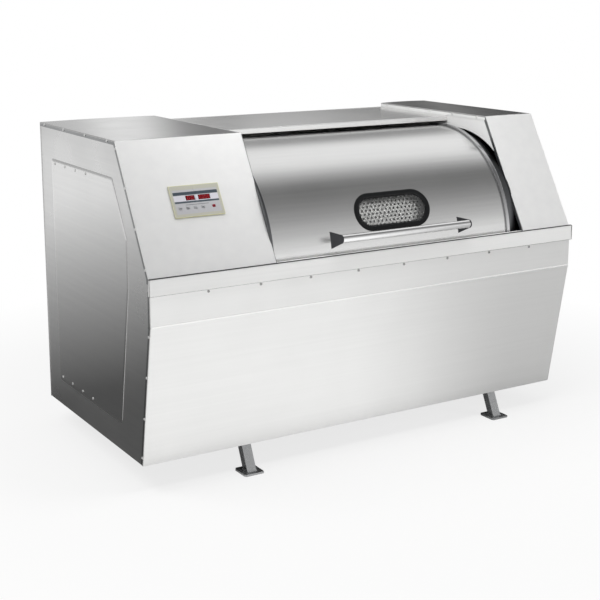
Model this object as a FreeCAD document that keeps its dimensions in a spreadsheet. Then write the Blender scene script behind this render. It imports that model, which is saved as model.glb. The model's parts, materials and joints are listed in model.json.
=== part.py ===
import FreeCAD, Part
import os
import re

import Sketcher

# Industrial washing machine with a lying drum, a tub, a curved sliding door and a box frame.
# Millimetres. X runs to the right, Y to the back, Z up. The origin is on the floor, midway between
# both ends and midway between the door handle and the pipe stubs at the back.
# Depths named "setback" are measured backwards from the front face of the sill.

doc = FreeCAD.newDocument("washing_machine")

SIZES = {
    "cabinet_width": (2000, "over both side panels"),
    "cabinet_depth": (1070, "sill face to rear panel"),
    "cabinet_top": (1300, "floor to the tops of the end cabinets"),
    "skirt_height": (105, "floor to the lower edge of the panels"),
    "origin_setback": (531.7, "sill face to the origin"),
    "left_cabinet": (524, "width of the drive cabinet"),
    "right_cabinet": (263, "width of the service cabinet"),
    "sheet": (2, "panel sheet"),
    "flange": (18, "folded panel flanges"),
    "fit": (0.3, "gap between parts that lie against each other on a curve"),
    "running": (0.05, "radial clearance of a shaft in its bore"),
    "sill_top": (835, "floor to the top of the sill"),
    "sill_face": (62, "height of the sill"),
    "sill_over": (6, "sill past the side panels"),
    "hem": (14, "depth of the folded sill"),
    "top_setback": (283, "front edge of the top covers"),
    "fold_height": (655, "floor to the fold of the apron"),
    "apron_setback": (8, "upright band of the apron"),
    "skirt_setback": (105, "lower edge of the apron"),
    "cover_front": (197, "setback of the access cover"),
    "cover_back": (950, "setback of the access cover's rear edge"),
    "cover_low": (215, "floor to the access cover"),
    "cover_high": (1160, "floor to the access cover's upper edge"),
    "cover_knee_low": (760, "lower end of the access cover's upright edge"),
    "cover_knee_high": (945, "upper end of the access cover's upright edge"),
    "centre_setback": (548, "front edge of the centre top cover"),
    "centre_drop": (20, "centre top cover below the end cabinets"),
    "rail": (50, "frame tube"),
    "post": (40, "corner post"),
    "tube_wall": (3, "wall of frame tubes and legs"),
    "rail_offset": (394, "drum axis to the outer face of a long rail"),
    "left_leg": (440, "left side to the left legs"),
    "right_leg": (330, "right side to the right legs"),
    "leg_tube": (40, "leg tube"),
    "leg_lean": (45, "foot outwards of the top of the leg"),
    "foot_length": (84, "foot plate along the machine"),
    "foot_depth": (90, "foot plate across the machine"),
    "foot_toe": (23, "foot plate in front of the leg"),
    "foot_plate": (8, "thickness of a foot plate"),
    "anchor_radius": (6, "anchor hole"),
    "anchor_offset": (31, "leg centre to anchor hole"),
    "axis_setback": (504, "drum axis"),
    "axis_height": (785, "floor to the drum axis"),
    "wall_plate": (6, "end wall plate"),
    "drum_radius": (425, "outside of the drum"),
    "drum_side_gap": (25, "drum end to end wall"),
    "drum_wall": (3, "drum shell"),
    "drum_end": (5, "drum end plate"),
    "hatch_start": (37.5, "front edge of the drum opening, degrees above the front"),
    "hatch_span": (55, "drum opening, degrees"),
    "hatch_length": (560, "drum opening along the drum"),
    "hatch_lap": (12, "drum door past the opening"),
    "hinge_radius": (410, "drum axis to the hinge of the drum door"),
    "knuckle_radius": (9, "outside of a hinge knuckle"),
    "pin_radius": (5, "hinge pin"),
    "lifter_height": (60, "drum lifter"),
    "lifter_base": (90, "foot of a drum lifter"),
    "hole_radius": (6, "drum perforation"),
    "tub_gap": (15, "drum to tub"),
    "tub_wall": (3, "tub shell"),
    "tub_start": (98, "rear edge of the tub opening, degrees"),
    "tub_span": (264, "tub shell, degrees"),
    "door_radius": (459, "outside of the sliding door"),
    "door_wall": (2, "skin of the sliding door"),
    "door_start": (3.2, "lower edge of the door, degrees"),
    "door_span": (97, "sliding door, degrees"),
    "door_travel": (75, "door movement, degrees"),
    "door_inset": (8, "end of the door to the web of its rail"),
    "guide_width": (48, "door rail along the machine"),
    "guide_wall": (3, "wall of a door rail"),
    "guide_lip": (14, "outer wall of a door rail along the machine"),
    "guide_standoff": (50, "right door rail to the right end wall"),
    "guide_gap": (2.5, "door skin to the outer wall of the rail"),
    "guide_start": (1.5, "lower end of the rail, degrees"),
    "guide_past": (3.3, "door rail past the open door, degrees"),
    "glide_height": (7.5, "nylon glide under the door skin"),
    "window_angle": (24.4, "middle of the window, degrees"),
    "window_length": (366, "window gasket along the machine"),
    "window_height": (157, "window gasket round the door"),
    "gasket_land": (24, "width of the gasket"),
    "gasket_proud": (6, "gasket above and below the door skin"),
    "glass_wall": (5, "window glass"),
    "handle_angle": (12.7, "handle bar, degrees"),
    "handle_reach": (72, "door skin to the middle of the handle bar"),
    "handle_length": (630, "between the outer faces of the handle brackets"),
    "handle_radius": (16, "handle bar"),
    "bracket_base": (66, "foot of a handle bracket"),
    "bracket_wall": (6, "handle bracket"),
    "shaft_radius": (40, "drum shafts"),
    "shaft_flange": (120, "radius of a shaft flange"),
    "seal_radius": (65, "shaft seal in the end wall"),
    "bearing_size": (190, "square flange of a bearing"),
    "bearing_depth": (60, "bearing along the shaft"),
    "gear_gap": (60, "bearing to gearbox"),
    "gear_length": (190, "gearbox along the drum shaft"),
    "gear_radius": (145, "gearbox round the drum shaft"),
    "gear_centres": (150, "drum axis to the gearbox input shaft"),
    "input_radius": (20, "gearbox input and motor shafts"),
    "pulley_setback": (724, "middle of the belt pulleys"),
    "pulley_width": (60, "belt pulleys"),
    "pulley_radius": (90, "gearbox pulley"),
    "motor_pulley_radius": (50, "motor pulley"),
    "belt_width": (13, "one V belt"),
    "belt_depth": (9, "one V belt, thickness"),
    "belt_pitch": (18, "belt to belt"),
    "motor_radius": (118, "motor frame"),
    "motor_length": (330, "motor frame"),
    "motor_height": (132, "motor feet to motor shaft"),
    "base_plate": (12, "drive base plate"),
    "pipe_radius": (24, "water inlet pipe"),
    "drain_radius": (45, "drain pipe"),
    "pipe_wall": (3, "wall of both pipes"),
    "pipe_stub": (25, "hose spigots past the rear panel"),
    "pipe_step": (1, "hose spigot smaller than its pipe, radially"),
    "collar_rise": (10, "collar of a hose spigot above its pipe"),
    "fascia_left": (160, "left side to the control fascia"),
    "fascia_low": (214, "sill to the control fascia, up the slope"),
    "fascia_width": (205, "control fascia"),
    "fascia_height": (125, "control fascia"),
    "fascia_wall": (6, "control fascia"),
    "key_width": (12, "one key"),
    "key_height": (9, "one key"),
    "key_proud": (2, "key above the fascia"),
    "key_gap": (0.5, "key to fascia, all round"),
    "screw_radius": (4.5, "panel screw head"),
    "screw_head": (2.5, "height of a panel screw head"),
    "apron_pitch": (219, "screws along the apron"),
}

# Sizes that follow from the ones above.
DERIVED = {
    "half_width": "cabinet_width/2",
    "inner_half": "cabinet_width/2 - 2*sheet",
    "bay_left": "left_cabinet - half_width",
    "bay_right": "half_width - right_cabinet",
    "bay_middle": "(bay_left + bay_right)/2",
    "guide_right": "bay_right - guide_standoff",
    "door_middle": "(bay_left + guide_right)/2",
    "axis_y": "axis_setback - origin_setback",
    "back_y": "cabinet_depth - origin_setback",
    "deck": "skirt_height + 2*rail",
    "rail_front": "axis_setback - rail_offset",
    "cover_under": "cabinet_top - sheet",
    "slope_run": "top_setback - hem",
    "slope_rise": "cover_under - sill_top",
    "slope_length": "sqrt(slope_run^2 + slope_rise^2)",
    "slope_skin": "sheet*slope_length/slope_rise",
    "apron_run": "skirt_setback - apron_setback",
    "apron_rise": "fold_height - skirt_height",
    "apron_skin": "sheet*sqrt(apron_run^2 + apron_rise^2)/apron_rise",
    "tuck": "flange + sheet",
    "drum_left": "bay_left + drum_side_gap",
    "drum_right": "bay_right - drum_side_gap",
    "drum_length": "drum_right - drum_left",
    "drum_inner": "drum_radius - drum_wall",
    "hatch_end": "hatch_start + hatch_span",
    "tub_inner": "drum_radius + tub_gap",
    "tub_outer": "tub_inner + tub_wall",
    "door_inner": "door_radius - door_wall",
    "door_end": "door_start + door_span",
    "guide_span": "door_end + door_travel + guide_past - guide_start",
    "guide_outer": "door_radius + guide_gap + guide_wall",
    "guide_inner": "door_inner - glide_height - key_gap - guide_wall",
    "bar_radius": "door_radius + handle_reach",
    "bearing_end": "wall_plate + bearing_depth",
    "gear_right": "bay_left - bearing_end - gear_gap",
    "gear_left": "gear_right - gear_length",
    "gear_middle": "gear_right - gear_length/2",
    "input_height": "axis_height - gear_centres",
    "motor_axis": "deck + base_plate + motor_height",
    "motor_end": "pulley_setback - pulley_width/2 - base_plate",
    "inlet_x": "bay_right + wall_plate + 5*pipe_radius",
    "inlet_setback": "axis_setback + 5*pipe_radius",
    "inlet_height": "axis_height + 11*pipe_radius",
    "drain_x": "bay_middle + drum_length/3",
    "drain_bend": "2*drain_radius",
    "drain_height": "axis_height - tub_outer - drain_bend - flange",
    "valve_setback": "axis_setback + 6*drain_radius",
    "key_row": "fascia_height*0.28",
}

sheet = doc.addObject("Spreadsheet::Sheet", "Size")
for row, (alias, (value, note)) in enumerate(SIZES.items(), start=1):
    sheet.set(f"A{row}", note)
    sheet.set(f"B{row}", str(value))
    sheet.setAlias(f"B{row}", alias)
doc.recompute()

PARTS = []


def bind(text):
    """Turns size names in an expression into cells of the sheet."""
    def swap(match):
        name = match.group(0)
        if name in DERIVED:
            return "(" + bind(DERIVED[name]) + ")"
        return "Size." + name if name in SIZES else name
    return re.sub(r"[a-z][a-z_]*", swap, str(text))


def number(text):
    """Value of an expression of size names."""
    value = sheet.evalExpression(bind(text))
    return float(getattr(value, "Value", value))


def back(setback):
    """Y of a depth that is measured from the sill face."""
    return f"({setback} - origin_setback)"


def put(thing, x, y, z, turn="rotation(vector(1;0;0);0)"):
    """Binds the place and the turn of an object."""
    thing.setExpression("Placement", bind(f"placement(vector({x};{y};{z});{turn})"))
    return thing


def box(x, y, z):
    """Block between low and high values of X, Y and Z."""
    block = doc.addObject("Part::Box", "Block")
    for side, (low, high) in zip(("Length", "Width", "Height"), (x, y, z)):
        block.setExpression(side, bind(f"{high} - ({low})"))
    return put(block, x[0], y[0], z[0])


def rod(radius, x, y, z):
    """Round bar along the one of X, Y and Z that has a low and a high value."""
    bar = doc.addObject("Part::Cylinder", "Rod")
    bar.setExpression("Radius", bind(radius))
    turns = {0: "rotation(vector(0;1;0);90)", 1: "rotation(vector(1;0;0);-90)", 2: "rotation(vector(0;0;1);0)"}
    place = [x, y, z]
    along = [index for index, value in enumerate(place) if isinstance(value, tuple)][0]
    low, high = place[along]
    place[along] = low
    bar.setExpression("Height", bind(f"{high} - ({low})"))
    return put(bar, *place, turns[along])


def sector(radius, x, start="0", span="360"):
    """Slice of a cylinder round the drum axis; angles run from the front over the top."""
    slice_ = doc.addObject("Part::Cylinder", "Sector")
    slice_.setExpression("Radius", bind(radius))
    slice_.setExpression("Height", bind(f"{x[1]} - ({x[0]})"))
    slice_.setExpression("Angle", bind(span))
    turn = f"rotation(vector(1;0;0);90 - ({start})) * rotation(vector(0;1;0);-90)"
    return put(slice_, x[1], "axis_y", "axis_height", turn)


def fuse(*solids):
    """One solid from several."""
    joined = doc.addObject("Part::MultiFuse", "Joined")
    joined.Shapes = list(solids)
    joined.Refine = True
    return joined


def cut(base, *tools):
    """A solid less others."""
    result = doc.addObject("Part::Cut", "Cut")
    result.Base = base
    result.Tool = tools[0] if len(tools) == 1 else fuse(*tools)
    return result


def common(first, second):
    """What two solids share."""
    shared = doc.addObject("Part::MultiCommon", "Common")
    shared.Shapes = [first, second]
    return shared


def shell(outer, inner, x, start="0", span="360"):
    """Curved plate round the drum axis."""
    return cut(sector(outer, x, start, span), sector(inner, x))


def draw(body, plane, offset, points):
    """Closed outline on an origin plane of a body, with each corner bound to its expressions."""
    sketch = body.newObject("Sketcher::SketchObject", "Outline")
    support = [item for item in body.Origin.OriginFeatures if item.Role == plane][0]
    sketch.AttachmentSupport = [(support, "")]
    sketch.MapMode = "FlatFace"
    sketch.setExpression("AttachmentOffset.Base.z", bind(offset))
    corners = [FreeCAD.Vector(number(u), number(v), 0) for u, v in points]
    for index, corner in enumerate(corners):
        sketch.addGeometry(Part.LineSegment(corner, corners[(index + 1) % len(corners)]), False)
    for index in range(len(corners)):
        following = (index + 1) % len(corners)
        sketch.addConstraint(Sketcher.Constraint("Coincident", index, 2, following, 1))
    for index, expressions in enumerate(points):
        for kind, text in zip(("DistanceX", "DistanceY"), expressions):
            value = number(text)
            rule = sketch.addConstraint(Sketcher.Constraint(kind, -1, 1, index, 1, value))
            sketch.setExpression(f"Constraints[{rule}]", bind(text))
    return sketch


def pad(body, sketch, length):
    """Gives an outline its length."""
    feature = body.newObject("PartDesign::Pad", "Pad")
    feature.Profile = sketch
    feature.setExpression("Length", bind(length))
    return feature


def plate(*layers):
    """Folded sheet: side outlines of setback and height, each padded between two X values."""
    body = doc.addObject("PartDesign::Body", "Body")
    for (low, high), outline in layers:
        points = [(back(setback), height) for setback, height in outline]
        pad(body, draw(body, "YZ_Plane", low, points), f"{high} - ({low})")
    return body


def turned(points, x, y, z, turn):
    """Turned piece: an outline of place along the axis and radius, spun round the axis."""
    body = doc.addObject("PartDesign::Body", "Body")
    sketch = draw(body, "XY_Plane", "0", points)
    spin = body.newObject("PartDesign::Revolution", "Revolution")
    spin.Profile = sketch
    spin.ReferenceAxis = (sketch, ["H_Axis"])
    spin.Angle = 360
    return put(body, x, y, z, turn)


def keep(name, *solids):
    """Names a finished part; several solids become one group."""
    part = solids[0]
    if len(solids) > 1:
        part = doc.addObject("Part::Compound", "Group")
        part.Links = list(solids)
    part.Label = name
    PARTS.append(part)
    return part


def tube(x, y, z, along):
    """Square tube between low and high values, open along one axis."""
    hollow = []
    for index, (low, high) in enumerate((x, y, z)):
        hollow.append((low, high) if index == along else (f"{low} + tube_wall", f"{high} - tube_wall"))
    return cut(box(x, y, z), box(*hollow))


ALONG_X = "rotation(vector(1;0;0);0)"
ALONG_Y = "rotation(vector(0;0;1);90)"
FRONT = -1
REAR = 1
LEFT = -1
RIGHT = 1


# Base frame and legs.

def long_rail(side):
    outer = f"axis_setback + {side}*rail_offset"
    inner = f"axis_setback + {side}*(rail_offset - rail)"
    low, high = (outer, inner) if side == FRONT else (inner, outer)
    return tube(("-inner_half", "inner_half"), (back(low), back(high)), ("skirt_height", "skirt_height + rail"), 0)


keep("frame_long_rails", long_rail(FRONT), long_rail(REAR))

CROSS_RAILS = ("-inner_half", "bay_left - rail", "bay_right", "inner_half - rail")
keep("frame_cross_rails", *[
    tube((x, f"{x} + rail"), (back("rail_front"), "back_y - sheet"), ("skirt_height + rail", "deck"), 1)
    for x in CROSS_RAILS
])

POST_X = ("-inner_half", "inner_half - post")
keep("frame_posts", *[
    tube((x, f"{x} + post"), (y, f"{y} + post"), ("deck", top), 2)
    for x in POST_X
    for y, top in ((back("rail_front"), "sill_top"), ("back_y - sheet - post", "cover_under"))
])


def leg(x, side):
    """Leaning tube under a long rail on a foot plate with an anchor hole."""
    def at(reach):
        return f"axis_setback + {side}*({reach})"
    outline = [
        (at("rail_offset"), "skirt_height"),
        (at("rail_offset - leg_tube"), "skirt_height"),
        (at("rail_offset + leg_lean - leg_tube"), "foot_plate"),
        (at("rail_offset + leg_lean"), "foot_plate"),
    ]
    core = [
        (at("rail_offset - tube_wall"), "skirt_height"),
        (at("rail_offset - leg_tube + tube_wall"), "skirt_height"),
        (at("rail_offset + leg_lean - leg_tube + tube_wall"), "foot_plate"),
        (at("rail_offset + leg_lean - tube_wall"), "foot_plate"),
    ]
    outside = plate(((f"{x} - leg_tube/2", f"{x} + leg_tube/2"), outline))
    inside = plate(((f"{x} - leg_tube/2 + tube_wall", f"{x} + leg_tube/2 - tube_wall"), core))
    toe = back(at("rail_offset + leg_lean + foot_toe"))
    heel = back(at("rail_offset + leg_lean + foot_toe - foot_depth"))
    depth = (toe, heel) if side == FRONT else (heel, toe)
    foot = box((f"{x} - foot_length/2", f"{x} + foot_length/2"), depth, ("0", "foot_plate"))
    middle = back(at("rail_offset + leg_lean + foot_toe - foot_depth/2"))
    anchor = rod("anchor_radius", f"{x} + anchor_offset", middle, ("-1", "foot_plate + 1"))
    return cut(fuse(cut(outside, inside), foot), anchor)


LEG_X = ("left_leg - half_width", "half_width - right_leg")
keep("legs", *[leg(x, side) for x in LEG_X for side in (FRONT, REAR)])


# End walls and tub.

WALL = [
    ("rail_front", "deck"),
    ("hem + slope_skin", "fold_height"),
    ("hem + slope_skin", "sill_top"),
    ("top_setback + slope_skin", "cover_under"),
    ("cabinet_depth - sheet", "cover_under"),
    ("cabinet_depth - sheet", "deck"),
]


def end_wall(x):
    blank = plate((x, WALL))
    hole = rod("seal_radius", (f"{x[0]} - 1", f"{x[1]} + 1"), "axis_y", "axis_height")
    return cut(blank, hole)


LEFT_WALL = ("bay_left - wall_plate", "bay_left")
RIGHT_WALL = ("bay_right", "bay_right + wall_plate")
keep("left_end_wall", end_wall(LEFT_WALL))
inlet_hole = rod(
    "pipe_radius - pipe_wall", ("bay_right - 1", "bay_right + wall_plate + 1"), back("inlet_setback"), "inlet_height"
)
keep("right_end_wall", cut(end_wall(RIGHT_WALL), inlet_hole))

BAY = ("bay_left", "bay_right")
drain_hole = rod("drain_radius - pipe_wall", "drain_x", "axis_y", ("skirt_height", "axis_height"))
keep("tub_shell", cut(shell("tub_outer", "tub_inner", BAY, "tub_start", "tub_span"), drain_hole))

GUTTER_END = "axis_setback - tub_outer - fit"
GUTTER_FLOOR = "axis_height + 5"
keep("door_gutter", plate((BAY, [
    ("hem", "sill_top - 10"),
    ("hem + sheet", "sill_top - 10"),
    ("hem + sheet", f"{GUTTER_FLOOR} + sheet"),
    (GUTTER_END, f"{GUTTER_FLOOR} + sheet"),
    (GUTTER_END, GUTTER_FLOOR),
    ("hem", GUTTER_FLOOR),
])))


# Sill and front panels.

SILL_X = ("-half_width - sill_over", "half_width + sill_over")
SILL_END = [("0", "sill_top - sill_face"), ("0", "sill_top"), ("hem", "sill_top"), ("hem", "sill_top - sill_face")]
keep("front_sill", plate(
    (SILL_X, [
        ("0", "sill_top - sill_face"),
        ("0", "sill_top"),
        ("hem", "sill_top"),
        ("hem", "sill_top - sill_face/2"),
        ("hem - sheet", "sill_top - sill_face/2"),
        ("hem - sheet", "sill_top - sheet"),
        ("sheet", "sill_top - sheet"),
        ("sheet", "sill_top - sill_face"),
    ]),
    ((SILL_X[0], f"{SILL_X[0]} + sheet"), SILL_END),
    ((f"{SILL_X[1]} - sheet", SILL_X[1]), SILL_END),
))
keep("sill_edge_trim", box(SILL_X, (back("0"), back("hem/2")), ("sill_top", "sill_top + 1.5*sheet")))

APRON_TOP = "sill_top - 0.75*sill_face"
APRON_FLANGE = [
    ("apron_setback", APRON_TOP),
    ("apron_setback + flange", APRON_TOP),
    ("apron_setback + flange", "fold_height"),
    ("skirt_setback + flange", "skirt_height"),
    ("skirt_setback", "skirt_height"),
    ("apron_setback", "fold_height"),
]
keep("apron", plate(
    (("-half_width", "half_width"), [
        ("apron_setback", APRON_TOP),
        ("apron_setback + sheet", APRON_TOP),
        ("apron_setback + sheet", "fold_height + (apron_skin - sheet)*apron_rise/apron_run"),
        ("skirt_setback + apron_skin", "skirt_height"),
        ("skirt_setback", "skirt_height"),
        ("apron_setback", "fold_height"),
    ]),
    (("-half_width", "-half_width + sheet"), APRON_FLANGE),
    (("half_width - sheet", "half_width"), APRON_FLANGE),
))

SLOPE = [
    ("hem", "sill_top - tuck"),
    ("hem", "sill_top"),
    ("top_setback", "cover_under"),
    ("top_setback + slope_skin", "cover_under"),
    ("hem + sheet", "sill_top - (slope_skin - sheet)*slope_rise/slope_run"),
    ("hem + sheet", "sill_top - tuck"),
]
SLOPE_FLANGE = [
    ("hem", "sill_top"),
    ("top_setback", "cover_under"),
    ("top_setback + flange", "cover_under"),
    ("hem + flange", "sill_top"),
]
keep("left_front_panel", plate(
    (("-half_width", "bay_left"), SLOPE), (("-half_width", "-half_width + sheet"), SLOPE_FLANGE),
))
keep("right_front_panel", plate(
    (("bay_right", "half_width"), SLOPE), (("half_width - sheet", "half_width"), SLOPE_FLANGE),
))


# Side panels, access covers, top covers and rear panel.

SIDE = [
    ("skirt_setback + apron_skin", "skirt_height"),
    ("apron_setback + apron_skin", "fold_height"),
    ("apron_setback + apron_skin", "sill_top - 1.1*sill_face"),
    ("hem + slope_skin", "sill_top - 0.7*sill_face"),
    ("hem + slope_skin", "sill_top"),
    ("top_setback + slope_skin", "cover_under"),
    ("cabinet_depth - sheet", "cover_under"),
    ("cabinet_depth - sheet", "skirt_height"),
]
COVER = [
    ("cover_front + (cover_knee_low - cover_low)*apron_run/apron_rise", "cover_low"),
    ("cover_front", "cover_knee_low"),
    ("cover_front", "cover_knee_high"),
    ("cover_front + (cover_high - cover_knee_high)*slope_run/slope_rise", "cover_high"),
    ("cover_back", "cover_high"),
    ("cover_back", "cover_low"),
]
for name, outer, inner in (("left", "-half_width", "-inner_half"), ("right", "half_width", "inner_half")):
    middle = f"({outer} + {inner})/2"
    panel = (middle, inner) if name == "left" else (inner, middle)
    cover = (outer, middle) if name == "left" else (middle, outer)
    keep(f"{name}_side_panel", plate((panel, SIDE)))
    keep(f"{name}_access_cover", plate((cover, COVER)))


def top_cover(outer, side, bay):
    """Flat cover with a flange over the side panel and one over the end wall."""
    outside = (outer, f"{outer} + sheet") if side == LEFT else (f"{outer} - sheet", outer)
    inside = (bay, f"{bay} + sheet") if side == LEFT else (f"{bay} - sheet", bay)
    ends = (outside[0], inside[1]) if side == LEFT else (inside[0], outside[1])
    depth = (back("top_setback"), "back_y")
    behind = (back("top_setback + flange"), "back_y - sheet")
    edge = ("cabinet_top - flange", "cabinet_top")
    return fuse(box(ends, depth, ("cover_under", "cabinet_top")), box(outside, behind, edge), box(inside, depth, edge))


keep("left_top_cover", top_cover("-half_width", LEFT, "bay_left"))
keep("right_top_cover", top_cover("half_width", RIGHT, "bay_right"))

CENTRE_TOP = "cabinet_top - centre_drop"
centre_depth = (back("centre_setback"), "back_y - sheet")
centre_edge = (f"{CENTRE_TOP} - flange - 2*sheet", CENTRE_TOP)
keep("centre_top_cover", fuse(
    box(BAY, centre_depth, (f"{CENTRE_TOP} - sheet", CENTRE_TOP)),
    box(BAY, (back("centre_setback"), back("centre_setback + sheet")), centre_edge),
    box(("bay_left", "bay_left + sheet"), centre_depth, centre_edge),
    box(("bay_right - sheet", "bay_right"), centre_depth, centre_edge),
))

rear = doc.addObject("PartDesign::Body", "Body")
pad(rear, draw(rear, "XZ_Plane", "-back_y", [
    ("-half_width", "skirt_height"),
    ("half_width", "skirt_height"),
    ("half_width", "cover_under"),
    ("bay_right", "cover_under"),
    ("bay_right", CENTRE_TOP),
    ("bay_left", CENTRE_TOP),
    ("bay_left", "cover_under"),
    ("-half_width", "cover_under"),
]), "sheet")
THROUGH_REAR = ("back_y - 5*sheet", "back_y + 5*sheet")
VENT_COUNT = 6
vents = [
    box(("gear_left", "gear_right"), THROUGH_REAR,
        (f"axis_height + {index}*2*flange", f"axis_height + {index}*2*flange + flange/2"))
    for index in range(VENT_COUNT)
]
keep("rear_panel", cut(
    rear,
    *vents,
    rod("pipe_radius + fit", "inlet_x", THROUGH_REAR, "inlet_height"),
    rod("drain_radius + fit", "drain_x", THROUGH_REAR, "drain_height"),
))


# Door rails and stops.

def guide(web_x, side):
    """Curved channel with a narrow outer wall, open towards the bay, in which the door's end slides."""
    def towards_bay(near, far, past=0):
        low, high = f"{web_x} + {-side}*{near}", f"{web_x} + {-side}*({far} + {past})"
        return (low, high) if side == LEFT else (high, low)

    solid = shell("guide_outer", "guide_inner", towards_bay(0, "guide_width"), "guide_start", "guide_span")
    groove = shell("guide_outer - guide_wall", "guide_inner + guide_wall", towards_bay("guide_wall", "guide_width", 1))
    mouth = shell("guide_outer + 1", "guide_outer - 2*guide_wall", towards_bay("guide_lip", "guide_width", 1))
    return cut(solid, groove, mouth)


keep("left_door_rail", guide("bay_left", LEFT))
foot = shell("guide_inner + guide_wall", "guide_inner", ("guide_right", "bay_right"), "guide_start", "guide_span")
keep("right_door_rail", fuse(guide("guide_right", RIGHT), foot))

STOP_X = (("bay_left + guide_wall", "bay_left + guide_width - guide_wall"),
          ("guide_right - guide_width + guide_wall", "guide_right - guide_wall"))
STOP_ARCS = (("guide_start", "door_start - guide_start - 0.05"),
             ("door_end + door_travel + 0.05", "guide_start + guide_span - door_end - door_travel - 0.05"))
keep("door_stops", *[
    shell("guide_outer - guide_wall - fit", "guide_inner + guide_wall + fit", x, start, span)
    for x in STOP_X
    for start, span in STOP_ARCS
])


# Sliding door.

def slot(length, height, low, high):
    """Bar of rounded slot section that points outwards through the middle of the window."""
    straight = f"({length} - {height})/2"
    turn = "rotation(vector(1;0;0);90 - window_angle)"
    body = doc.addObject("PartDesign::Body", "Body")
    half = [(f"-{straight}", f"-{height}/2"), (straight, f"-{height}/2"),
            (straight, f"{height}/2"), (f"-{straight}", f"{height}/2")]
    pad(body, draw(body, "XY_Plane", low, half), f"{high} - ({low})")
    put(body, "door_middle", "axis_y", "axis_height", turn)
    ends = []
    for side in (LEFT, RIGHT):
        end = doc.addObject("Part::Cylinder", "Rod")
        end.setExpression("Radius", bind(f"{height}/2"))
        end.setExpression("Height", bind(f"{high} - ({low})"))
        along = f"door_middle + {side}*{straight}"
        ends.append(put(end, along, f"axis_y - ({low})*cos(window_angle)",
                        f"axis_height + ({low})*sin(window_angle)", turn))
    return fuse(body, *ends)


def window_slot(inset):
    """Slot of the window, smaller all round than the gasket."""
    return slot(f"(window_length - 2*{inset})", f"(window_height - 2*{inset})",
                "door_radius - 4*gasket_proud", "door_radius + 4*gasket_proud")


DOOR_X = ("bay_left + door_inset", "guide_right - door_inset")
HEM_X = ("bay_left + guide_width + guide_wall", "guide_right - guide_width - guide_wall")
HEM_ARC = "0.6"
skin = fuse(
    shell("door_radius", "door_inner", DOOR_X, "door_start", "door_span"),
    shell("door_radius", "door_inner - glide_height", HEM_X, "door_start", HEM_ARC),
    shell("door_radius", "door_inner - glide_height", HEM_X, f"door_end - {HEM_ARC}", HEM_ARC),
)
door = keep("sliding_door", cut(skin, window_slot("gasket_land/2")))

WINDOW_X = ("door_middle - window_length", "door_middle + window_length")
glass = keep("window_glass", common(
    window_slot("0.75*gasket_land"), shell("door_inner + glass_wall/2", "door_inner - glass_wall/2", WINDOW_X),
))
ring = cut(
    common(window_slot("0"), shell("door_radius + gasket_proud", "door_inner - gasket_proud", WINDOW_X)),
    window_slot("gasket_land"),
)
keep("window_gasket", cut(ring, door, glass))


def bracket(x):
    """Tapered plate that stands on the door and carries one end of the handle bar."""
    body = doc.addObject("PartDesign::Body", "Body")
    pad(body, draw(body, "YZ_Plane", x[0], [
        ("-door_radius + gasket_proud", "-bracket_base/2"),
        ("-door_radius + gasket_proud", "bracket_base/2"),
        ("-bar_radius", "1.1*handle_radius"),
        ("-bar_radius", "-1.1*handle_radius"),
    ]), f"{x[1]} - ({x[0]})")
    put(body, "0", "axis_y", "axis_height", "rotation(vector(1;0;0);-handle_angle)")
    nose = rod("1.1*handle_radius", x, BAR_Y, BAR_Z)
    hole = rod("handle_radius", (f"{x[0]} - 1", f"{x[1]} + 1"), BAR_Y, BAR_Z)
    return cut(fuse(body, nose), hole, sector("door_radius", (f"{x[0]} - 1", f"{x[1]} + 1")))


BAR_Y = "axis_y - bar_radius*cos(handle_angle)"
BAR_Z = "axis_height + bar_radius*sin(handle_angle)"
HANDLE_LOW = "door_middle - handle_length/2"
HANDLE_HIGH = "door_middle + handle_length/2"
keep("handle_brackets",
     bracket((HANDLE_LOW, f"{HANDLE_LOW} + bracket_wall")),
     bracket((f"{HANDLE_HIGH} - bracket_wall", HANDLE_HIGH)))
END_CURVE = "handle_radius/3"
BAR_LENGTH = "handle_length + bracket_wall"
keep("handle_bar", turned([
    ("0", "0"),
    (BAR_LENGTH, "0"),
    (BAR_LENGTH, f"handle_radius - {END_CURVE}"),
    (f"{BAR_LENGTH} - {END_CURVE}", "handle_radius"),
    (END_CURVE, "handle_radius"),
    ("0", f"handle_radius - {END_CURVE}"),
], f"{HANDLE_LOW} - bracket_wall/2", BAR_Y, BAR_Z, ALONG_X))

GLIDE_X = (("bay_left + door_inset", "bay_left + guide_width - door_inset"),
           ("guide_right - guide_width + door_inset", "guide_right - door_inset"))
GLIDE_ARC = "3"
keep("door_glides", *[
    shell("door_inner", "door_inner - glide_height", x, start, GLIDE_ARC)
    for x in GLIDE_X
    for start in ("door_start", f"door_end - {GLIDE_ARC}")
])


# Drum.

SHELL_X = ("drum_left + drum_end", "drum_right - drum_end")
HATCH_X = ("bay_middle - hatch_length/2", "bay_middle + hatch_length/2")
HOLE_ROWS = 16
HOLES_IN_ROW = 9


def holes():
    """Radial rods of the drum perforation, in rows along the drum."""
    rods = []
    for row in range(HOLE_ROWS):
        angle = f"hatch_end + (360 - hatch_span)*{row + 0.5}/{HOLE_ROWS}"
        for place in range(HOLES_IN_ROW):
            along = (place + 0.5 + 0.5*(row % 2)) / (HOLES_IN_ROW + 0.5)
            hole = doc.addObject("Part::Cylinder", "Rod")
            hole.setExpression("Radius", bind("hole_radius"))
            hole.setExpression("Height", bind("4*drum_wall"))
            turn = f"rotation(vector(1;0;0);90 - ({angle}))"
            rods.append(put(hole, f"drum_left + drum_length*{along}",
                            f"axis_y - (drum_radius - 2*drum_wall)*cos({angle})",
                            f"axis_height + (drum_radius - 2*drum_wall)*sin({angle})", turn))
    perforation = doc.addObject("Part::Compound", "Perforation")
    perforation.Links = rods
    return perforation


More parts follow.
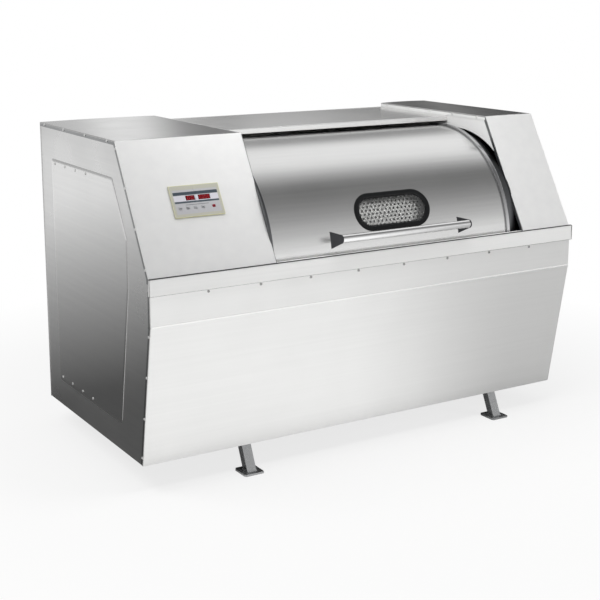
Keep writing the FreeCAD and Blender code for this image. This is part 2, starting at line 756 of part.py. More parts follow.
drum_blank = shell("drum_radius", "drum_inner", SHELL_X, "hatch_end", "360 - hatch_span")
keep("drum_shell", cut(drum_blank, holes()))
keep("drum_door_surround", *[
    shell("drum_radius", "drum_inner", x, "hatch_start", "hatch_span")
    for x in ((SHELL_X[0], HATCH_X[0]), (HATCH_X[1], SHELL_X[1]))
])
keep("drum_left_end", sector("drum_radius", ("drum_left", "drum_left + drum_end")))
keep("drum_right_end", sector("drum_radius", ("drum_right - drum_end", "drum_right")))


def ridge(angle, thinner):
    """Bar with the section of a drum lifter, made thinner on its three faces."""
    body = doc.addObject("PartDesign::Body", "Body")
    pad(body, draw(body, "YZ_Plane", SHELL_X[0], [
        ("-drum_radius", f"1.2*{thinner} - lifter_base/2"),
        ("-drum_radius", f"lifter_base/2 - 1.2*{thinner}"),
        (f"lifter_height - drum_inner - {thinner}", f"lifter_base/8 - {thinner}/2"),
        (f"lifter_height - drum_inner - {thinner}", f"{thinner}/2 - lifter_base/8"),
    ]), f"{SHELL_X[1]} - ({SHELL_X[0]})")
    return put(body, "0", "axis_y", "axis_height", f"rotation(vector(1;0;0);-{angle})")


def lifter(angle):
    """Folded ridge along the inside of the drum."""
    return cut(common(ridge(angle, "0"), sector("drum_inner - fit", SHELL_X)), ridge(angle, "drum_wall"))


LIFTER_ANGLES = (5, 125, 245)
keep("drum_lifters", *[lifter(angle) for angle in LIFTER_ANGLES])

# The drum door lies against the inside of the opening and swings inwards on a pin at its lower edge.
HINGE_ANGLE = "(hatch_start - 0.5)"
HINGE_Y = f"axis_y - hinge_radius*cos({HINGE_ANGLE})"
HINGE_Z = f"axis_height + hinge_radius*sin({HINGE_ANGLE})"
LEAF_X = (f"{HATCH_X[0]} - hatch_lap", f"{HATCH_X[1]} + hatch_lap")
LEAF_START = "(hatch_start + 0.7)"
LEAF_END = "(hatch_end + 57.3*hatch_lap/drum_radius)"
leaf = shell("drum_inner - fit", "drum_inner - fit - drum_wall", LEAF_X, LEAF_START, f"{LEAF_END} - {LEAF_START}")
KNUCKLE = "hatch_length/6"
KNUCKLE_X = [(f"bay_middle + {place}*hatch_length/3 - {KNUCKLE}/2",
              f"bay_middle + {place}*hatch_length/3 + {KNUCKLE}/2") for place in (-1, 0, 1)]
knuckles = []
for x in KNUCKLE_X:
    eye = rod("knuckle_radius", x, HINGE_Y, HINGE_Z)
    strap = shell("drum_inner - fit - drum_wall/2", "drum_inner - fit - 2*drum_wall", x,
                  HINGE_ANGLE, f"{LEAF_START} - {HINGE_ANGLE} + 2")
    knuckles.append(fuse(eye, strap))
bore = rod("pin_radius + running", LEAF_X, HINGE_Y, HINGE_Z)
keep("drum_door", cut(fuse(leaf, *knuckles), bore))

LUG = "3*drum_wall"
LUG_X = [(f"{KNUCKLE_X[0][0]} - {LUG} - sheet", f"{KNUCKLE_X[0][0]} - sheet"),
         (f"{KNUCKLE_X[2][1]} + sheet", f"{KNUCKLE_X[2][1]} + {LUG} + sheet")]
pin = rod("pin_radius", (LUG_X[0][0], LUG_X[1][1]), HINGE_Y, HINGE_Z)
lugs = []
for x in LUG_X:
    block = shell("drum_inner - fit", "hinge_radius - knuckle_radius", x,
                  f"{HINGE_ANGLE} - 3", "3 + 0.4")
    lugs.append(fuse(block, rod("knuckle_radius", x, HINGE_Y, HINGE_Z)))
keep("drum_hinge_pin", fuse(pin, *lugs))

SHAFT_HUB = "3*drum_end"
DRIVE_LENGTH = "(drum_left - gear_left)"
keep("drive_shaft", turned([
    ("0", "0"),
    (DRIVE_LENGTH, "0"),
    (DRIVE_LENGTH, "shaft_flange"),
    (f"{DRIVE_LENGTH} - {SHAFT_HUB}", "shaft_flange"),
    (f"{DRIVE_LENGTH} - {SHAFT_HUB}", "shaft_radius"),
    ("0", "shaft_radius"),
], "gear_left", "axis_y", "axis_height", ALONG_X))
IDLE_LENGTH = "bay_right + bearing_end + flange - drum_right"
keep("idle_shaft", turned([
    ("0", "0"),
    (IDLE_LENGTH, "0"),
    (IDLE_LENGTH, "shaft_radius"),
    (SHAFT_HUB, "shaft_radius"),
    (SHAFT_HUB, "shaft_flange"),
    ("0", "shaft_flange"),
], "drum_right", "axis_y", "axis_height", ALONG_X))


# Bearings and seals.

def bearing(face, side):
    """Square flange bearing on the outside of an end wall."""
    end = f"{face} + {side}*bearing_depth"
    foot = f"{face} + {side}*bearing_depth/3"
    x = (end, face) if side == LEFT else (face, end)
    flange_x = (foot, face) if side == LEFT else (face, foot)
    half = "bearing_size/2"
    square = box(flange_x, (f"axis_y - {half}", f"axis_y + {half}"), (f"axis_height - {half}", f"axis_height + {half}"))
    boss = rod("0.4*bearing_size", x, "axis_y", "axis_height")
    hole = rod("shaft_radius + running", (f"{x[0]} - 1", f"{x[1]} + 1"), "axis_y", "axis_height")
    return cut(fuse(square, boss), hole)


keep("left_bearing", bearing(LEFT_WALL[0], LEFT))
keep("right_bearing", bearing(RIGHT_WALL[1], RIGHT))


def seal(wall, lip):
    """Ring in the hole of an end wall with a lip inside the tub."""
    body = rod("seal_radius", wall, "axis_y", "axis_height")
    collar = rod("seal_radius + 2*wall_plate", lip, "axis_y", "axis_height")
    hole = rod("shaft_radius + 2*running", (f"{wall[0]} - wall_plate", f"{wall[1]} + wall_plate"), "axis_y", "axis_height")
    return cut(fuse(body, collar), hole)


keep("shaft_seals",
     seal(LEFT_WALL, ("bay_left", "bay_left + 2*sheet")),
     seal(RIGHT_WALL, ("bay_right - 2*sheet", "bay_right")))


# Drive in the left cabinet: motor, belts and worm gearbox.

GEAR_PLATE = "gear_radius"
case = rod("gear_radius", ("gear_middle - gear_length/3", "gear_middle + gear_length/3"), "axis_y", "axis_height")
boss = rod("2*shaft_radius", ("gear_left", "gear_right"), "axis_y", "axis_height")
tunnel = rod("1.6*shaft_radius", "gear_middle", ("axis_y - gear_radius", "axis_y + gear_radius"), "input_height")
mounting = box(("gear_right - base_plate", "gear_right"),
               (f"axis_y - {GEAR_PLATE}", f"axis_y + {GEAR_PLATE}"),
               (f"axis_height - {GEAR_PLATE}", f"axis_height + {GEAR_PLATE}"))
gear_bore = rod("shaft_radius + running", ("gear_left - 1", "gear_right + 1"), "axis_y", "axis_height")
input_bore = rod("input_radius + running", "gear_middle",
                 ("axis_y - gear_radius - 1", "axis_y + gear_radius + 1"), "input_height")
keep("gearbox_housing", cut(fuse(case, boss, tunnel, mounting), gear_bore, input_bore))
STANDOFF = "bearing_size/2 + 1.3*input_radius"
keep("gearbox_standoffs", *[
    rod("input_radius", ("gear_right", LEFT_WALL[0]), f"axis_y + {across}*({STANDOFF})",
        f"axis_height + {up}*({STANDOFF})")
    for across in (-1, 1)
    for up in (-1, 1)
])

BELTS = (-1, 0, 1)


def pulley(radius, first, last, y):
    """Shaft between two places along Y with a grooved belt pulley; places count from the pulley's middle."""
    outline = [(first, "0"), (last, "0"), (last, "input_radius"), ("pulley_width/2", "input_radius"),
               ("pulley_width/2", radius)]
    for belt in reversed(BELTS):
        middle = f"{belt}*belt_pitch"
        outline += [(f"{middle} + belt_width/2 + fit", radius), (f"{middle} + belt_width/2 + fit", f"{radius} - belt_depth"),
                    (f"{middle} - belt_width/2 - fit", f"{radius} - belt_depth"), (f"{middle} - belt_width/2 - fit", radius)]
    outline += [("-pulley_width/2", radius), ("-pulley_width/2", "input_radius"), (first, "input_radius")]
    return turned(outline, "gear_middle", back("pulley_setback"), y, ALONG_Y)


PULLEY_Y = "(pulley_setback - axis_setback)"
keep("gearbox_pulley", pulley("pulley_radius", f"-{PULLEY_Y} - gear_radius", "pulley_width/2 + sheet", "input_height"))
keep("motor_pulley", pulley("motor_pulley_radius", "motor_end - pulley_setback - motor_length/2",
                            "pulley_width/2 + sheet", "motor_axis"))


def loop(inset, y):
    """Block with the outline that a belt's outer or inner face runs along."""
    large = f"(pulley_radius - {inset})"
    small = f"(motor_pulley_radius - {inset})"
    drop = "(input_height - motor_axis)"
    lean = "((pulley_radius - motor_pulley_radius)/(input_height - motor_axis))"
    wide = f"sqrt(1 - {lean}^2)"
    body = doc.addObject("PartDesign::Body", "Body")
    pad(body, draw(body, "XZ_Plane", f"-({y[1]})", [
        (f"gear_middle - {small}*{wide}", f"motor_axis - {small}*{lean}"),
        (f"gear_middle + {small}*{wide}", f"motor_axis - {small}*{lean}"),
        (f"gear_middle + {large}*{wide}", f"motor_axis + {drop} - {large}*{lean}"),
        (f"gear_middle - {large}*{wide}", f"motor_axis + {drop} - {large}*{lean}"),
    ]), f"{y[1]} - ({y[0]})")
    return fuse(body, rod(large, "gear_middle", y, "input_height"), rod(small, "gear_middle", y, "motor_axis"))


belts = []
for place in BELTS:
    middle = f"{back('pulley_setback')} + {place}*belt_pitch"
    y = (f"{middle} - belt_width/2", f"{middle} + belt_width/2")
    belts.append(cut(loop("0", y), loop("(belt_depth - fit)", (f"{y[0]} - 1", f"{y[1]} + 1"))))
keep("drive_belts", *belts)

MOTOR_Y = (back("motor_end - motor_length"), back("motor_end"))
frame_tube = rod("0.9*motor_radius", "gear_middle", MOTOR_Y, "motor_axis")
fan_cover = rod("motor_radius", "gear_middle", (MOTOR_Y[0], f"{MOTOR_Y[0]} + motor_length/5"), "motor_axis")
end_shield = rod("motor_radius", "gear_middle", (f"{MOTOR_Y[1]} - 2*base_plate", MOTOR_Y[1]), "motor_axis")
terminal_box = box(("gear_middle - motor_radius/2", "gear_middle + motor_radius/2"),
                   (f"{MOTOR_Y[0]} + 0.35*motor_length", f"{MOTOR_Y[0]} + 0.7*motor_length"),
                   ("motor_axis + motor_radius/2", "motor_axis + 1.3*motor_radius"))
feet = [box((f"gear_middle + {low}*motor_radius", f"gear_middle + {high}*motor_radius"),
            (f"{MOTOR_Y[0]} + 0.3*motor_length", f"{MOTOR_Y[0]} + 0.85*motor_length"),
            ("deck + base_plate", "motor_axis - motor_radius/2")) for low, high in ((-0.95, -0.45), (0.45, 0.95))]
FIN_COUNT = 9
fins = []
for index in range(FIN_COUNT):
    angle = f"{180*index/FIN_COUNT}"
    fin = doc.addObject("Part::Box", "Block")
    fin.setExpression("Length", bind("2*motor_radius"))
    fin.setExpression("Width", bind("motor_length/2"))
    fin.setExpression("Height", bind("2*sheet"))
    turn = f"rotation(vector(0;1;0);{angle})"
    fins.append(put(fin, f"gear_middle - motor_radius*cos({angle}) - sheet*sin({angle})",
                    f"{MOTOR_Y[0]} + motor_length/3",
                    f"motor_axis + motor_radius*sin({angle}) - sheet*cos({angle})", turn))
motor_bore = rod("input_radius + running", "gear_middle",
                 (f"{MOTOR_Y[1]} - motor_length/2 - 1", f"{MOTOR_Y[1]} + 1"), "motor_axis")
keep("motor_body", cut(fuse(frame_tube, fan_cover, end_shield, terminal_box, *feet, *fins), motor_bore))
keep("drive_base", box(("-inner_half", "bay_left - wall_plate"),
                       (f"{MOTOR_Y[0]} - base_plate", f"{MOTOR_Y[1]} + 4*base_plate"), ("deck", "deck + base_plate")))


# Pipes and drain valve.

def bend(radius, sweep, x, y, z, turn):
    """Quarter of a pipe bend."""
    quarter = doc.addObject("Part::Torus", "Bend")
    quarter.setExpression("Radius1", bind(sweep))
    quarter.setExpression("Radius2", bind(radius))
    quarter.setExpression("Angle3", "90")
    return put(quarter, x, y, z, turn)


def inlet(radius, far, wall):
    """Inlet pipe: from the back, round a bend and to the right end wall."""
    sweep = "2*pipe_radius"
    long_run = rod(radius, "inlet_x", (back(f"inlet_setback + {sweep}"), far), "inlet_height")
    corner = bend(radius, sweep, f"inlet_x - {sweep}", back(f"inlet_setback + {sweep}"), "inlet_height",
                  "rotation(vector(0;0;1);-90)")
    short_run = rod(radius, (wall, f"inlet_x - {sweep}"), back("inlet_setback"), "inlet_height")
    return fuse(long_run, corner, short_run)


def spigot(radius, x, z):
    """Hose spigot behind the rear panel with a collar against the panel."""
    collar_end = "back_y + 2*sheet"
    collar = rod(f"{radius} + collar_rise", x, ("back_y", collar_end), z)
    nozzle = rod(f"{radius} - pipe_step", x, ("back_y", STUB_END), z)
    return fuse(collar, nozzle)


STUB_END = "back_y + pipe_stub"
WALL_OUT = "bay_right + wall_plate"
keep("water_inlet_pipe", cut(
    fuse(inlet("pipe_radius", "back_y", WALL_OUT), spigot("pipe_radius", "inlet_x", "inlet_height")),
    inlet("(pipe_radius - pipe_wall)", f"{STUB_END} + 1", f"{WALL_OUT} - 1"),
))


def drain(radius, far, top):
    """Drain pipe: from under the tub, round a bend and to the back."""
    fall = rod(radius, "drain_x", "axis_y", ("drain_height + drain_bend", top))
    corner = bend(radius, "drain_bend", "drain_x", "axis_y + drain_bend", "drain_height + drain_bend",
                  "rotation(vector(1;0;0);-90) * rotation(vector(0;1;0);90)")
    run = rod(radius, "drain_x", ("axis_y + drain_bend", far), "drain_height")
    return fuse(fall, corner, run)


TUB_LOW = "axis_height - 0.9*tub_inner"
drain_solid = cut(
    fuse(drain("drain_radius", "back_y", TUB_LOW), spigot("drain_radius", "drain_x", "drain_height")),
    drain("(drain_radius - pipe_wall)", f"{STUB_END} + 1", f"{TUB_LOW} + 1"),
)
stem_bore = rod("pipe_wall + 2*running + input_radius/5", "drain_x", back("valve_setback"),
                ("drain_height", "drain_height + 2*drain_radius"))
keep("drain_pipe", cut(drain_solid, sector("tub_outer + fit", BAY), stem_bore))

VALVE_Y = back("valve_setback")
VALVE_TOP = "drain_height + drain_radius + flange"
disc = rod("drain_radius - pipe_wall - fit", "drain_x", (f"{VALVE_Y} - pipe_wall", f"{VALVE_Y} + pipe_wall"), "drain_height")
stem = rod("pipe_wall + running + input_radius/5", "drain_x", VALVE_Y, ("drain_height", VALVE_TOP))
lever = box(("drain_x - flange/2", "drain_x + 2*drain_radius"), (f"{VALVE_Y} - flange/2", f"{VALVE_Y} + flange/2"),
            (VALVE_TOP, f"{VALVE_TOP} + pipe_wall"))
keep("drain_valve", fuse(disc, stem, lever))


# Controls on the sloped left front panel.

SLOPE_TURN = "rotation(vector(1;0;0);atan(slope_rise/slope_run))"


def on_slope(x, up, out):
    """Block on the left front panel: X, distance up the slope and height above the panel."""
    block = doc.addObject("Part::Box", "Block")
    for side, (low, high) in zip(("Length", "Width", "Height"), (x, up, out)):
        block.setExpression(side, bind(f"{high} - ({low})"))
    y = f"{back('hem')} + (({up[0]})*slope_run - ({out[0]})*slope_rise)/slope_length"
    z = f"sill_top + (({up[0]})*slope_rise + ({out[0]})*slope_run)/slope_length"
    return put(block, x[0], y, z, SLOPE_TURN)


FASCIA_LEFT = "fascia_left - half_width"
KEYS = {"key_one": 0.14, "key_two": 0.29, "key_three": 0.44, "key_four": 0.59, "key_red": 0.81}
key_x = {name: f"{FASCIA_LEFT} + {share}*fascia_width" for name, share in KEYS.items()}
KEY_MIDDLE = "(fascia_low + key_row)"


def key_block(name, gap, out):
    half_width = f"(key_width/2 + {gap})"
    half_height = f"(key_height/2 + {gap})"
    return on_slope((f"{key_x[name]} - {half_width}", f"{key_x[name]} + {half_width}"),
                    (f"{KEY_MIDDLE} - {half_height}", f"{KEY_MIDDLE} + {half_height}"), out)


DISPLAYS = ((0.29, 0.47), (0.54, 0.78))


def display_block(low, high, gap, out):
    return on_slope((f"{FASCIA_LEFT} + {low}*fascia_width - {gap}", f"{FASCIA_LEFT} + {high}*fascia_width + {gap}"),
                    (f"fascia_low + 0.52*fascia_height - {gap}", f"fascia_low + 0.67*fascia_height + {gap}"), out)


fascia = on_slope((FASCIA_LEFT, f"{FASCIA_LEFT} + fascia_width"), ("fascia_low", "fascia_low + fascia_height"),
                  ("0", "fascia_wall"))
pockets = [key_block(name, "key_gap", ("0", "2*fascia_wall")) for name in KEYS]
pockets += [display_block(low, high, "0", ("fascia_wall/2", "2*fascia_wall")) for low, high in DISPLAYS]
keep("control_fascia", cut(fascia, *pockets))
keep("display_windows", *[
    display_block(low, high, "0", ("fascia_wall/2", "fascia_wall + sheet/4")) for low, high in DISPLAYS
])
for name in KEYS:
    keep(name, key_block(name, "0", ("fascia_wall/3", "fascia_wall + key_proud")))


# Panel screws.

def screw(x, y, z):
    return rod("screw_radius", x, y, z)


APRON_SCREWS = (-3.5, -2.5, -1.5, -0.5, 0.5, 1.5, 2.5, 3.5)
screws = [
    screw(f"{place}*apron_pitch", (back("apron_setback - screw_head"), back("apron_setback")),
          "sill_top - sill_face - 2*screw_radius")
    for place in APRON_SCREWS
]
SHARES = (0.06, 0.35, 0.65, 0.94)
BAY_SHARES = (0.05, 0.28, 0.5, 0.72, 0.95)
for outside, bay, side in (("-half_width", "bay_left", LEFT), ("half_width", "bay_right", RIGHT)):
    head = (f"{outside} - screw_head", outside) if side == LEFT else (outside, f"{outside} + screw_head")
    bay_head = (f"{bay} + sheet", f"{bay} + sheet + screw_head")
    if side == RIGHT:
        bay_head = (f"{bay} - sheet - screw_head", f"{bay} - sheet")
    cover_run = "(cabinet_depth - top_setback - 2*flange)"
    for share in SHARES:
        screws.append(screw(head, back(f"top_setback + 1.5*flange + {share}*{cover_run}"), "cabinet_top - flange/2"))
        rise = f"{share}*slope_rise"
        screws.append(screw(head, back(f"hem + flange/2 + {share}*slope_run"), f"sill_top + {rise}"))
        drop = f"{share}*apron_rise"
        screws.append(screw(head, back(f"apron_setback + flange/2 + {share}*apron_run"), f"fold_height - {drop}"))
        cover_y = back(f"cover_back - flange - {share}*(cover_back - cover_front)/2")
        screws.append(screw(head, cover_y, "cover_low + flange"))
        screws.append(screw(head, cover_y, "cover_high - flange"))
    for share in BAY_SHARES:
        screws.append(screw(bay_head, back(f"top_setback + flange + {share}*{cover_run}"), "cabinet_top - flange/2"))
keep("panel_screws", *screws)


# Checks and files.

doc.recompute()
for item in doc.Objects:
    bad = [word for word in item.State if word in ("Invalid", "Error")]
    if bad:
        raise RuntimeError(f"{item.Label}: {bad}")
os.makedirs("parts", exist_ok=True)
for part in PARTS:
    if part.Shape.isNull() or not part.Shape.isValid():
        raise RuntimeError(f"{part.Label}: shape is not valid")
    part.Shape.exportStep(f"parts/{part.Label}.step")
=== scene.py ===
"""Looks of an industrial washing machine with a lying drum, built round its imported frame.

Each sub-assembly is a class that holds its sizes in metres, works out its surfaces with numpy and dresses
them. X runs to the right, Y to the back, Z up. Angles round the drum axis are in degrees: 0 in
front, 90 on top.
"""
import json
import logging
import math
from collections.abc import Sequence
from dataclasses import dataclass, field
from enum import Enum

import bmesh
import bpy
import numpy as np
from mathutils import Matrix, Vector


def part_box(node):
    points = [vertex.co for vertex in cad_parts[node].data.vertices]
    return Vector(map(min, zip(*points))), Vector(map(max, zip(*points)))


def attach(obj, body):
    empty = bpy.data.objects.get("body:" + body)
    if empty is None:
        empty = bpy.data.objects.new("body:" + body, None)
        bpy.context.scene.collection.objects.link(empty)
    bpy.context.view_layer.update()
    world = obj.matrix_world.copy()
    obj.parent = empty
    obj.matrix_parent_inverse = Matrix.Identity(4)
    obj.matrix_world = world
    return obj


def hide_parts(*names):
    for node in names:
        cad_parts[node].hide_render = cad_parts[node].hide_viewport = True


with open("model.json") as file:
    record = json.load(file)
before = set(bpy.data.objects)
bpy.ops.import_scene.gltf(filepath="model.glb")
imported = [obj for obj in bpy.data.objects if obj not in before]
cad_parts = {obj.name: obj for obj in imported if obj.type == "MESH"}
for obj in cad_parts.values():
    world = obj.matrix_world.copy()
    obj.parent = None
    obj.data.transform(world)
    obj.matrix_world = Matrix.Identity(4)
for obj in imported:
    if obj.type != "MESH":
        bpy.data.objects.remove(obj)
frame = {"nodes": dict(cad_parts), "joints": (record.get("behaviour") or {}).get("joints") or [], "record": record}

Array = np.ndarray
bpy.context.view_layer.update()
MM = 0.001
RIGHT, BACK, UP = (1, 0, 0), (0, 1, 0), (0, 0, 1)
# A direction along no edge of the machine.
ASKEW = (0.31, 0.57, 0.76)
ROUND_STEPS = 6
# Points closer than this, in metres, become one.
WELD = 2e-6
# Places that agree to these decimals of a metre are one: of a lattice, and of the frame.
LATTICE_DECIMALS, FRAME_DECIMALS = 7, 5
# Blender's noise seldom leaves this range.
NOISE_RANGE = (0.3, 0.7)
MAP_RANGE = ("Value", "From Min", "From Max", "To Min", "To Max")
log = logging.getLogger("washing_machine")


# Surfaces.

@dataclass
class Surface:
    """Points with four-sided faces, and flat caps of any number of sides."""

    points: Array
    quads: Array
    caps: list[Array] = field(default_factory=list)

    def __add__(self, other: "Surface") -> "Surface":
        """Both surfaces as one."""
        shift = len(self.points)
        return Surface(
            np.vstack([self.points, other.points]),
            np.vstack([self.quads, other.quads + shift]),
            self.caps + [cap + shift for cap in other.caps],
        )


def joined(surfaces: Sequence[Surface]) -> Surface:
    """Several surfaces as one."""
    return sum(surfaces[1:], surfaces[0])


def unit(vectors: Array) -> Array:
    """Vectors divided by their lengths."""
    return vectors / np.linalg.norm(vectors, axis=-1, keepdims=True)


def circle(count: int) -> Array:
    """Angles in radians of even steps round a whole turn."""
    return np.linspace(0, 2 * math.pi, count, endpoint=False)


def stacked(*parts: Array | float) -> Array:
    """Points from their coordinates, each spread to the same shape."""
    return np.stack(np.broadcast_arrays(*parts), -1)


def oval(wave: Array, power: float) -> Array:
    """A wave raised to a power with its sign kept: a power under 1 squares the sides of an oval."""
    return np.sign(wave) * np.abs(wave) ** power


def flat_run(start: float, end: float) -> Array:
    """Path of (place along a run, depth) that stays at the surface."""
    return np.array([(start, 0.0), (end, 0.0)])


def left_of(path: Array) -> Array:
    """Unit normals on the left of a flat open path: its differences, turned by a quarter."""
    step = unit(np.gradient(path, axis=0))
    return np.stack([-step[:, 1], step[:, 0]], -1)


def grid(points: Array, close_rows: bool = False, close_columns: bool = False) -> Surface:
    """Faces of a grid: point (i, j) is joined to (i, j+1), (i+1, j+1) and (i+1, j).

    Args:
        points: rows x columns x 3 places.
        close_rows: also joins the last row to the first.
        close_columns: also joins the last column to the first.

    Returns:
        The surface.
    """
    rows, columns = points.shape[:2]
    i, j = np.meshgrid(np.arange(rows - (not close_rows)), np.arange(columns - (not close_columns)),
                       indexing="ij")
    down, right = (i + 1) % rows, (j + 1) % columns
    quads = np.stack([i * columns + j, i * columns + right, down * columns + right, down * columns + j], -1)
    return Surface(points.reshape(-1, 3), quads.reshape(-1, 4))


def tube(points: Array) -> Surface:
    """Solid from rings: each row of points is a ring, and flat caps close the first and the last."""
    rows, columns = points.shape[:2]
    solid = grid(points, close_columns=True)
    ring = np.arange(columns)
    solid.caps += [ring[::-1], ring + (rows - 1) * columns]
    return solid


def shell(quads: Array, outer: Array, inner: Array) -> Surface:
    """Closed plate between two sets of points that share their faces.

    The inner faces are turned round, and a wall stands on each edge that only one face has.

    Args:
        quads: four-sided faces of the outer side.
        outer: places of its points.
        inner: places of the same points on the inner side.

    Returns:
        The closed plate.
    """
    count = len(outer)
    starts, ends = quads.ravel(), np.roll(quads, -1, 1).ravel()
    edges = np.minimum(starts, ends) * count + np.maximum(starts, ends)
    _, first, uses = np.unique(edges, return_index=True, return_counts=True)
    a, b = starts[first[uses == 1]], ends[first[uses == 1]]
    walls = np.stack([b, a, a + count, b + count], -1)
    return Surface(np.vstack([outer, inner]), np.vstack([quads, quads[:, ::-1] + count, walls]))


def sheet(points: Array, wall: float) -> Surface:
    """Plate of even thickness: a grid, and its copy set back by the wall along the grid's normals.

    The normal is the cross product of the differences along rows and columns.

    Args:
        points: rows x columns x 3 places of the outer face.
        wall: thickness, negative where the normals point inwards.

    Returns:
        The closed plate.
    """
    normal = unit(np.cross(np.gradient(points, axis=0), np.gradient(points, axis=1)))
    face = grid(points)
    return shell(face.quads, face.points, (points - wall * normal).reshape(-1, 3))


def rounded(corners: Sequence, radius: float | Sequence[float], steps: int = ROUND_STEPS,
            closed: bool = False) -> Array:
    """Path with arcs at its corners.

    An arc starts at radius x tan(turn / 2) before its corner, and turns about the point at one radius
    beside it.

    Args:
        corners: flat points of the path.
        radius: one radius, or one for each corner.
        steps: parts of each arc.
        closed: whether the last corner leads back to the first.

    Returns:
        Points of the rounded path.
    """
    corners = np.asarray(corners, float)
    radius = np.broadcast_to(np.asarray(radius, float), len(corners))[:, None]
    come = unit(corners - np.roll(corners, 1, 0))
    leave = unit(np.roll(corners, -1, 0) - corners)
    turn = np.arctan2(come[:, 0] * leave[:, 1] - come[:, 1] * leave[:, 0], (come * leave).sum(1))[:, None]
    start = corners - come * radius * np.tan(np.abs(turn) / 2)
    arm = radius * np.sign(turn) * np.stack([come[:, 1], -come[:, 0]], -1)
    angle = turn * np.linspace(0, 1, steps + 1)
    spun = np.stack([arm[:, :1] * np.cos(angle) - arm[:, 1:] * np.sin(angle),
                     arm[:, :1] * np.sin(angle) + arm[:, 1:] * np.cos(angle)], -1)
    arcs = (start - arm)[:, None] + spun
    if closed:
        return arcs.reshape(-1, 2)
    return np.vstack([corners[:1], arcs[1:-1].reshape(-1, 2), corners[-1:]])


def rectangle(low: Sequence, high: Sequence, radius: float, steps: int) -> Array:
    """Closed rectangle between two opposite corners, with arcs at its corners."""
    return rounded([low, (high[0], low[1]), high, (low[0], high[1])], radius, steps, True)


class Run(Enum):
    """Direction that a folded profile is carried along, with the side that its thickness lies on."""

    X = 1.0
    Y = -1.0


def folded(profile: Array, across: Array, run: Run, wall: float) -> Surface:
    """Folded sheet: the profile at v, sunk by the depth at s along its own normal.

    S(s, v) = profile(v) - depth(s) x left normal of the profile(v), at the place of s along the run.

    Args:
        profile: path in the plane square to the run, with the outside on its left.
        across: path of (place along the run, depth).
        run: direction of the run.
        wall: thickness of the sheet.

    Returns:
        The closed sheet.
    """
    sunk = profile[None] - across[:, 1, None, None] * left_of(profile)[None]
    along = np.broadcast_to(across[:, :1], sunk.shape[:2])
    order = (along, sunk[..., 0], sunk[..., 1]) if run is Run.X else (sunk[..., 0], along, sunk[..., 1])
    return sheet(np.stack(order, -1), wall * run.value)


def plate(outline: Array, edge: Array, origin: Sequence, right: Sequence, up: Sequence) -> Surface:
    """Flat plate with a shaped edge: an edge profile of (inset, height) is carried round a closed outline.

    Point (i, j) is outline point j, moved inwards by inset i and lifted by height i.

    Args:
        outline: points of the outline, counter-clockwise.
        edge: path of (inset, height) from the back of the plate to its face.
        origin: place of the outline's origin.
        right: direction of the outline's first coordinate.
        up: direction of its second coordinate.

    Returns:
        The closed plate.
    """
    right, up = np.asarray(right, float), np.asarray(up, float)
    step = unit(np.roll(outline, -1, 0) - np.roll(outline, 1, 0))
    inward = np.stack([-step[:, 1], step[:, 0]], -1)
    flat = outline[None] + edge[:, 0, None, None] * inward[None]
    lift = edge[:, 1, None, None] * np.cross(right, up)
    return tube(np.asarray(origin, float) + flat[..., :1] * right + flat[..., 1:] * up + lift)


def soft_edge(thickness: float, radius: float, steps: int = 3) -> Array:
    """Edge profile of a plate: upright, then a quarter round onto the face, as (inset, height)."""
    angle = np.linspace(0, math.pi / 2, steps + 1)
    arc = np.stack([radius * (1 - np.cos(angle)), thickness - radius * (1 - np.sin(angle))], -1)
    return np.vstack([[[0.0, 0.0]], arc])


def eased_edge(thickness: float, width: float, steps: int = 5) -> Array:
    """Edge profile of a pressed plate: a third upright, then a wide quarter sine, as (inset, height)."""
    share = np.linspace(0, 1, steps + 1)
    arc = np.stack([width * share, thickness * (1 + 2 * np.sin(share * math.pi / 2)) / 3], -1)
    return np.vstack([[[0.0, 0.0]], arc])


def lathe(profile: Array, origin: Sequence, axis: Sequence, sides: int) -> Surface:
    """Turned solid: a profile of (place along the axis, radius) spun round the axis, with flat ends."""
    axis = np.asarray(axis, float)
    first = unit(np.cross(axis, ASKEW))
    second = np.cross(axis, first)
    angle = circle(sides)[None, :, None]
    spokes = np.cos(angle) * first + np.sin(angle) * second
    along, reach = profile[:, 0, None, None], profile[:, 1, None, None]
    return tube(np.asarray(origin, float) + along * axis + reach * spokes)


def windowed(x: Array, y: Array, holes: Sequence[tuple], wall: float, origin: Sequence,
             right: Sequence, up: Sequence) -> Surface:
    """Flat plate with square holes: a lattice whose cells inside a hole are left out.

    Args:
        x: rising places of the lattice lines to the right.
        y: rising places of the lattice lines upwards.
        holes: (x low, x high, y low, y high) of each hole.
        wall: thickness behind the face.
        origin: place of the lattice's origin.
        right: direction of x.
        up: direction of y.

    Returns:
        The closed plate.
    """
    right, up = np.asarray(right, float), np.asarray(up, float)
    mid_x, mid_y = np.meshgrid((x[1:] + x[:-1]) / 2, (y[1:] + y[:-1]) / 2)
    keep = np.ones(mid_x.shape, bool)
    for x_low, x_high, y_low, y_high in holes:
        keep &= ~((mid_x > x_low) & (mid_x < x_high) & (mid_y > y_low) & (mid_y < y_high))
    flat_x, flat_y = np.meshgrid(x, y)
    face = (np.asarray(origin, float) + flat_x[..., None] * right + flat_y[..., None] * up).reshape(-1, 3)
    index = np.arange(flat_x.size).reshape(flat_x.shape)
    cells = np.stack([index[:-1, :-1], index[:-1, 1:], index[1:, 1:], index[1:, :-1]], -1)
    return shell(cells[keep], face, face - wall * np.cross(right, up))


# Finishes.

def linear(code: str) -> tuple[float, float, float, float]:
    """Linear colour of an sRGB hex code."""
    parts = [int(code[k:k + 2], 16) / 255 for k in (1, 3, 5)]
    return (*[p / 12.92 if p <= 0.04045 else ((p + 0.055) / 1.055) ** 2.4 for p in parts], 1.0)


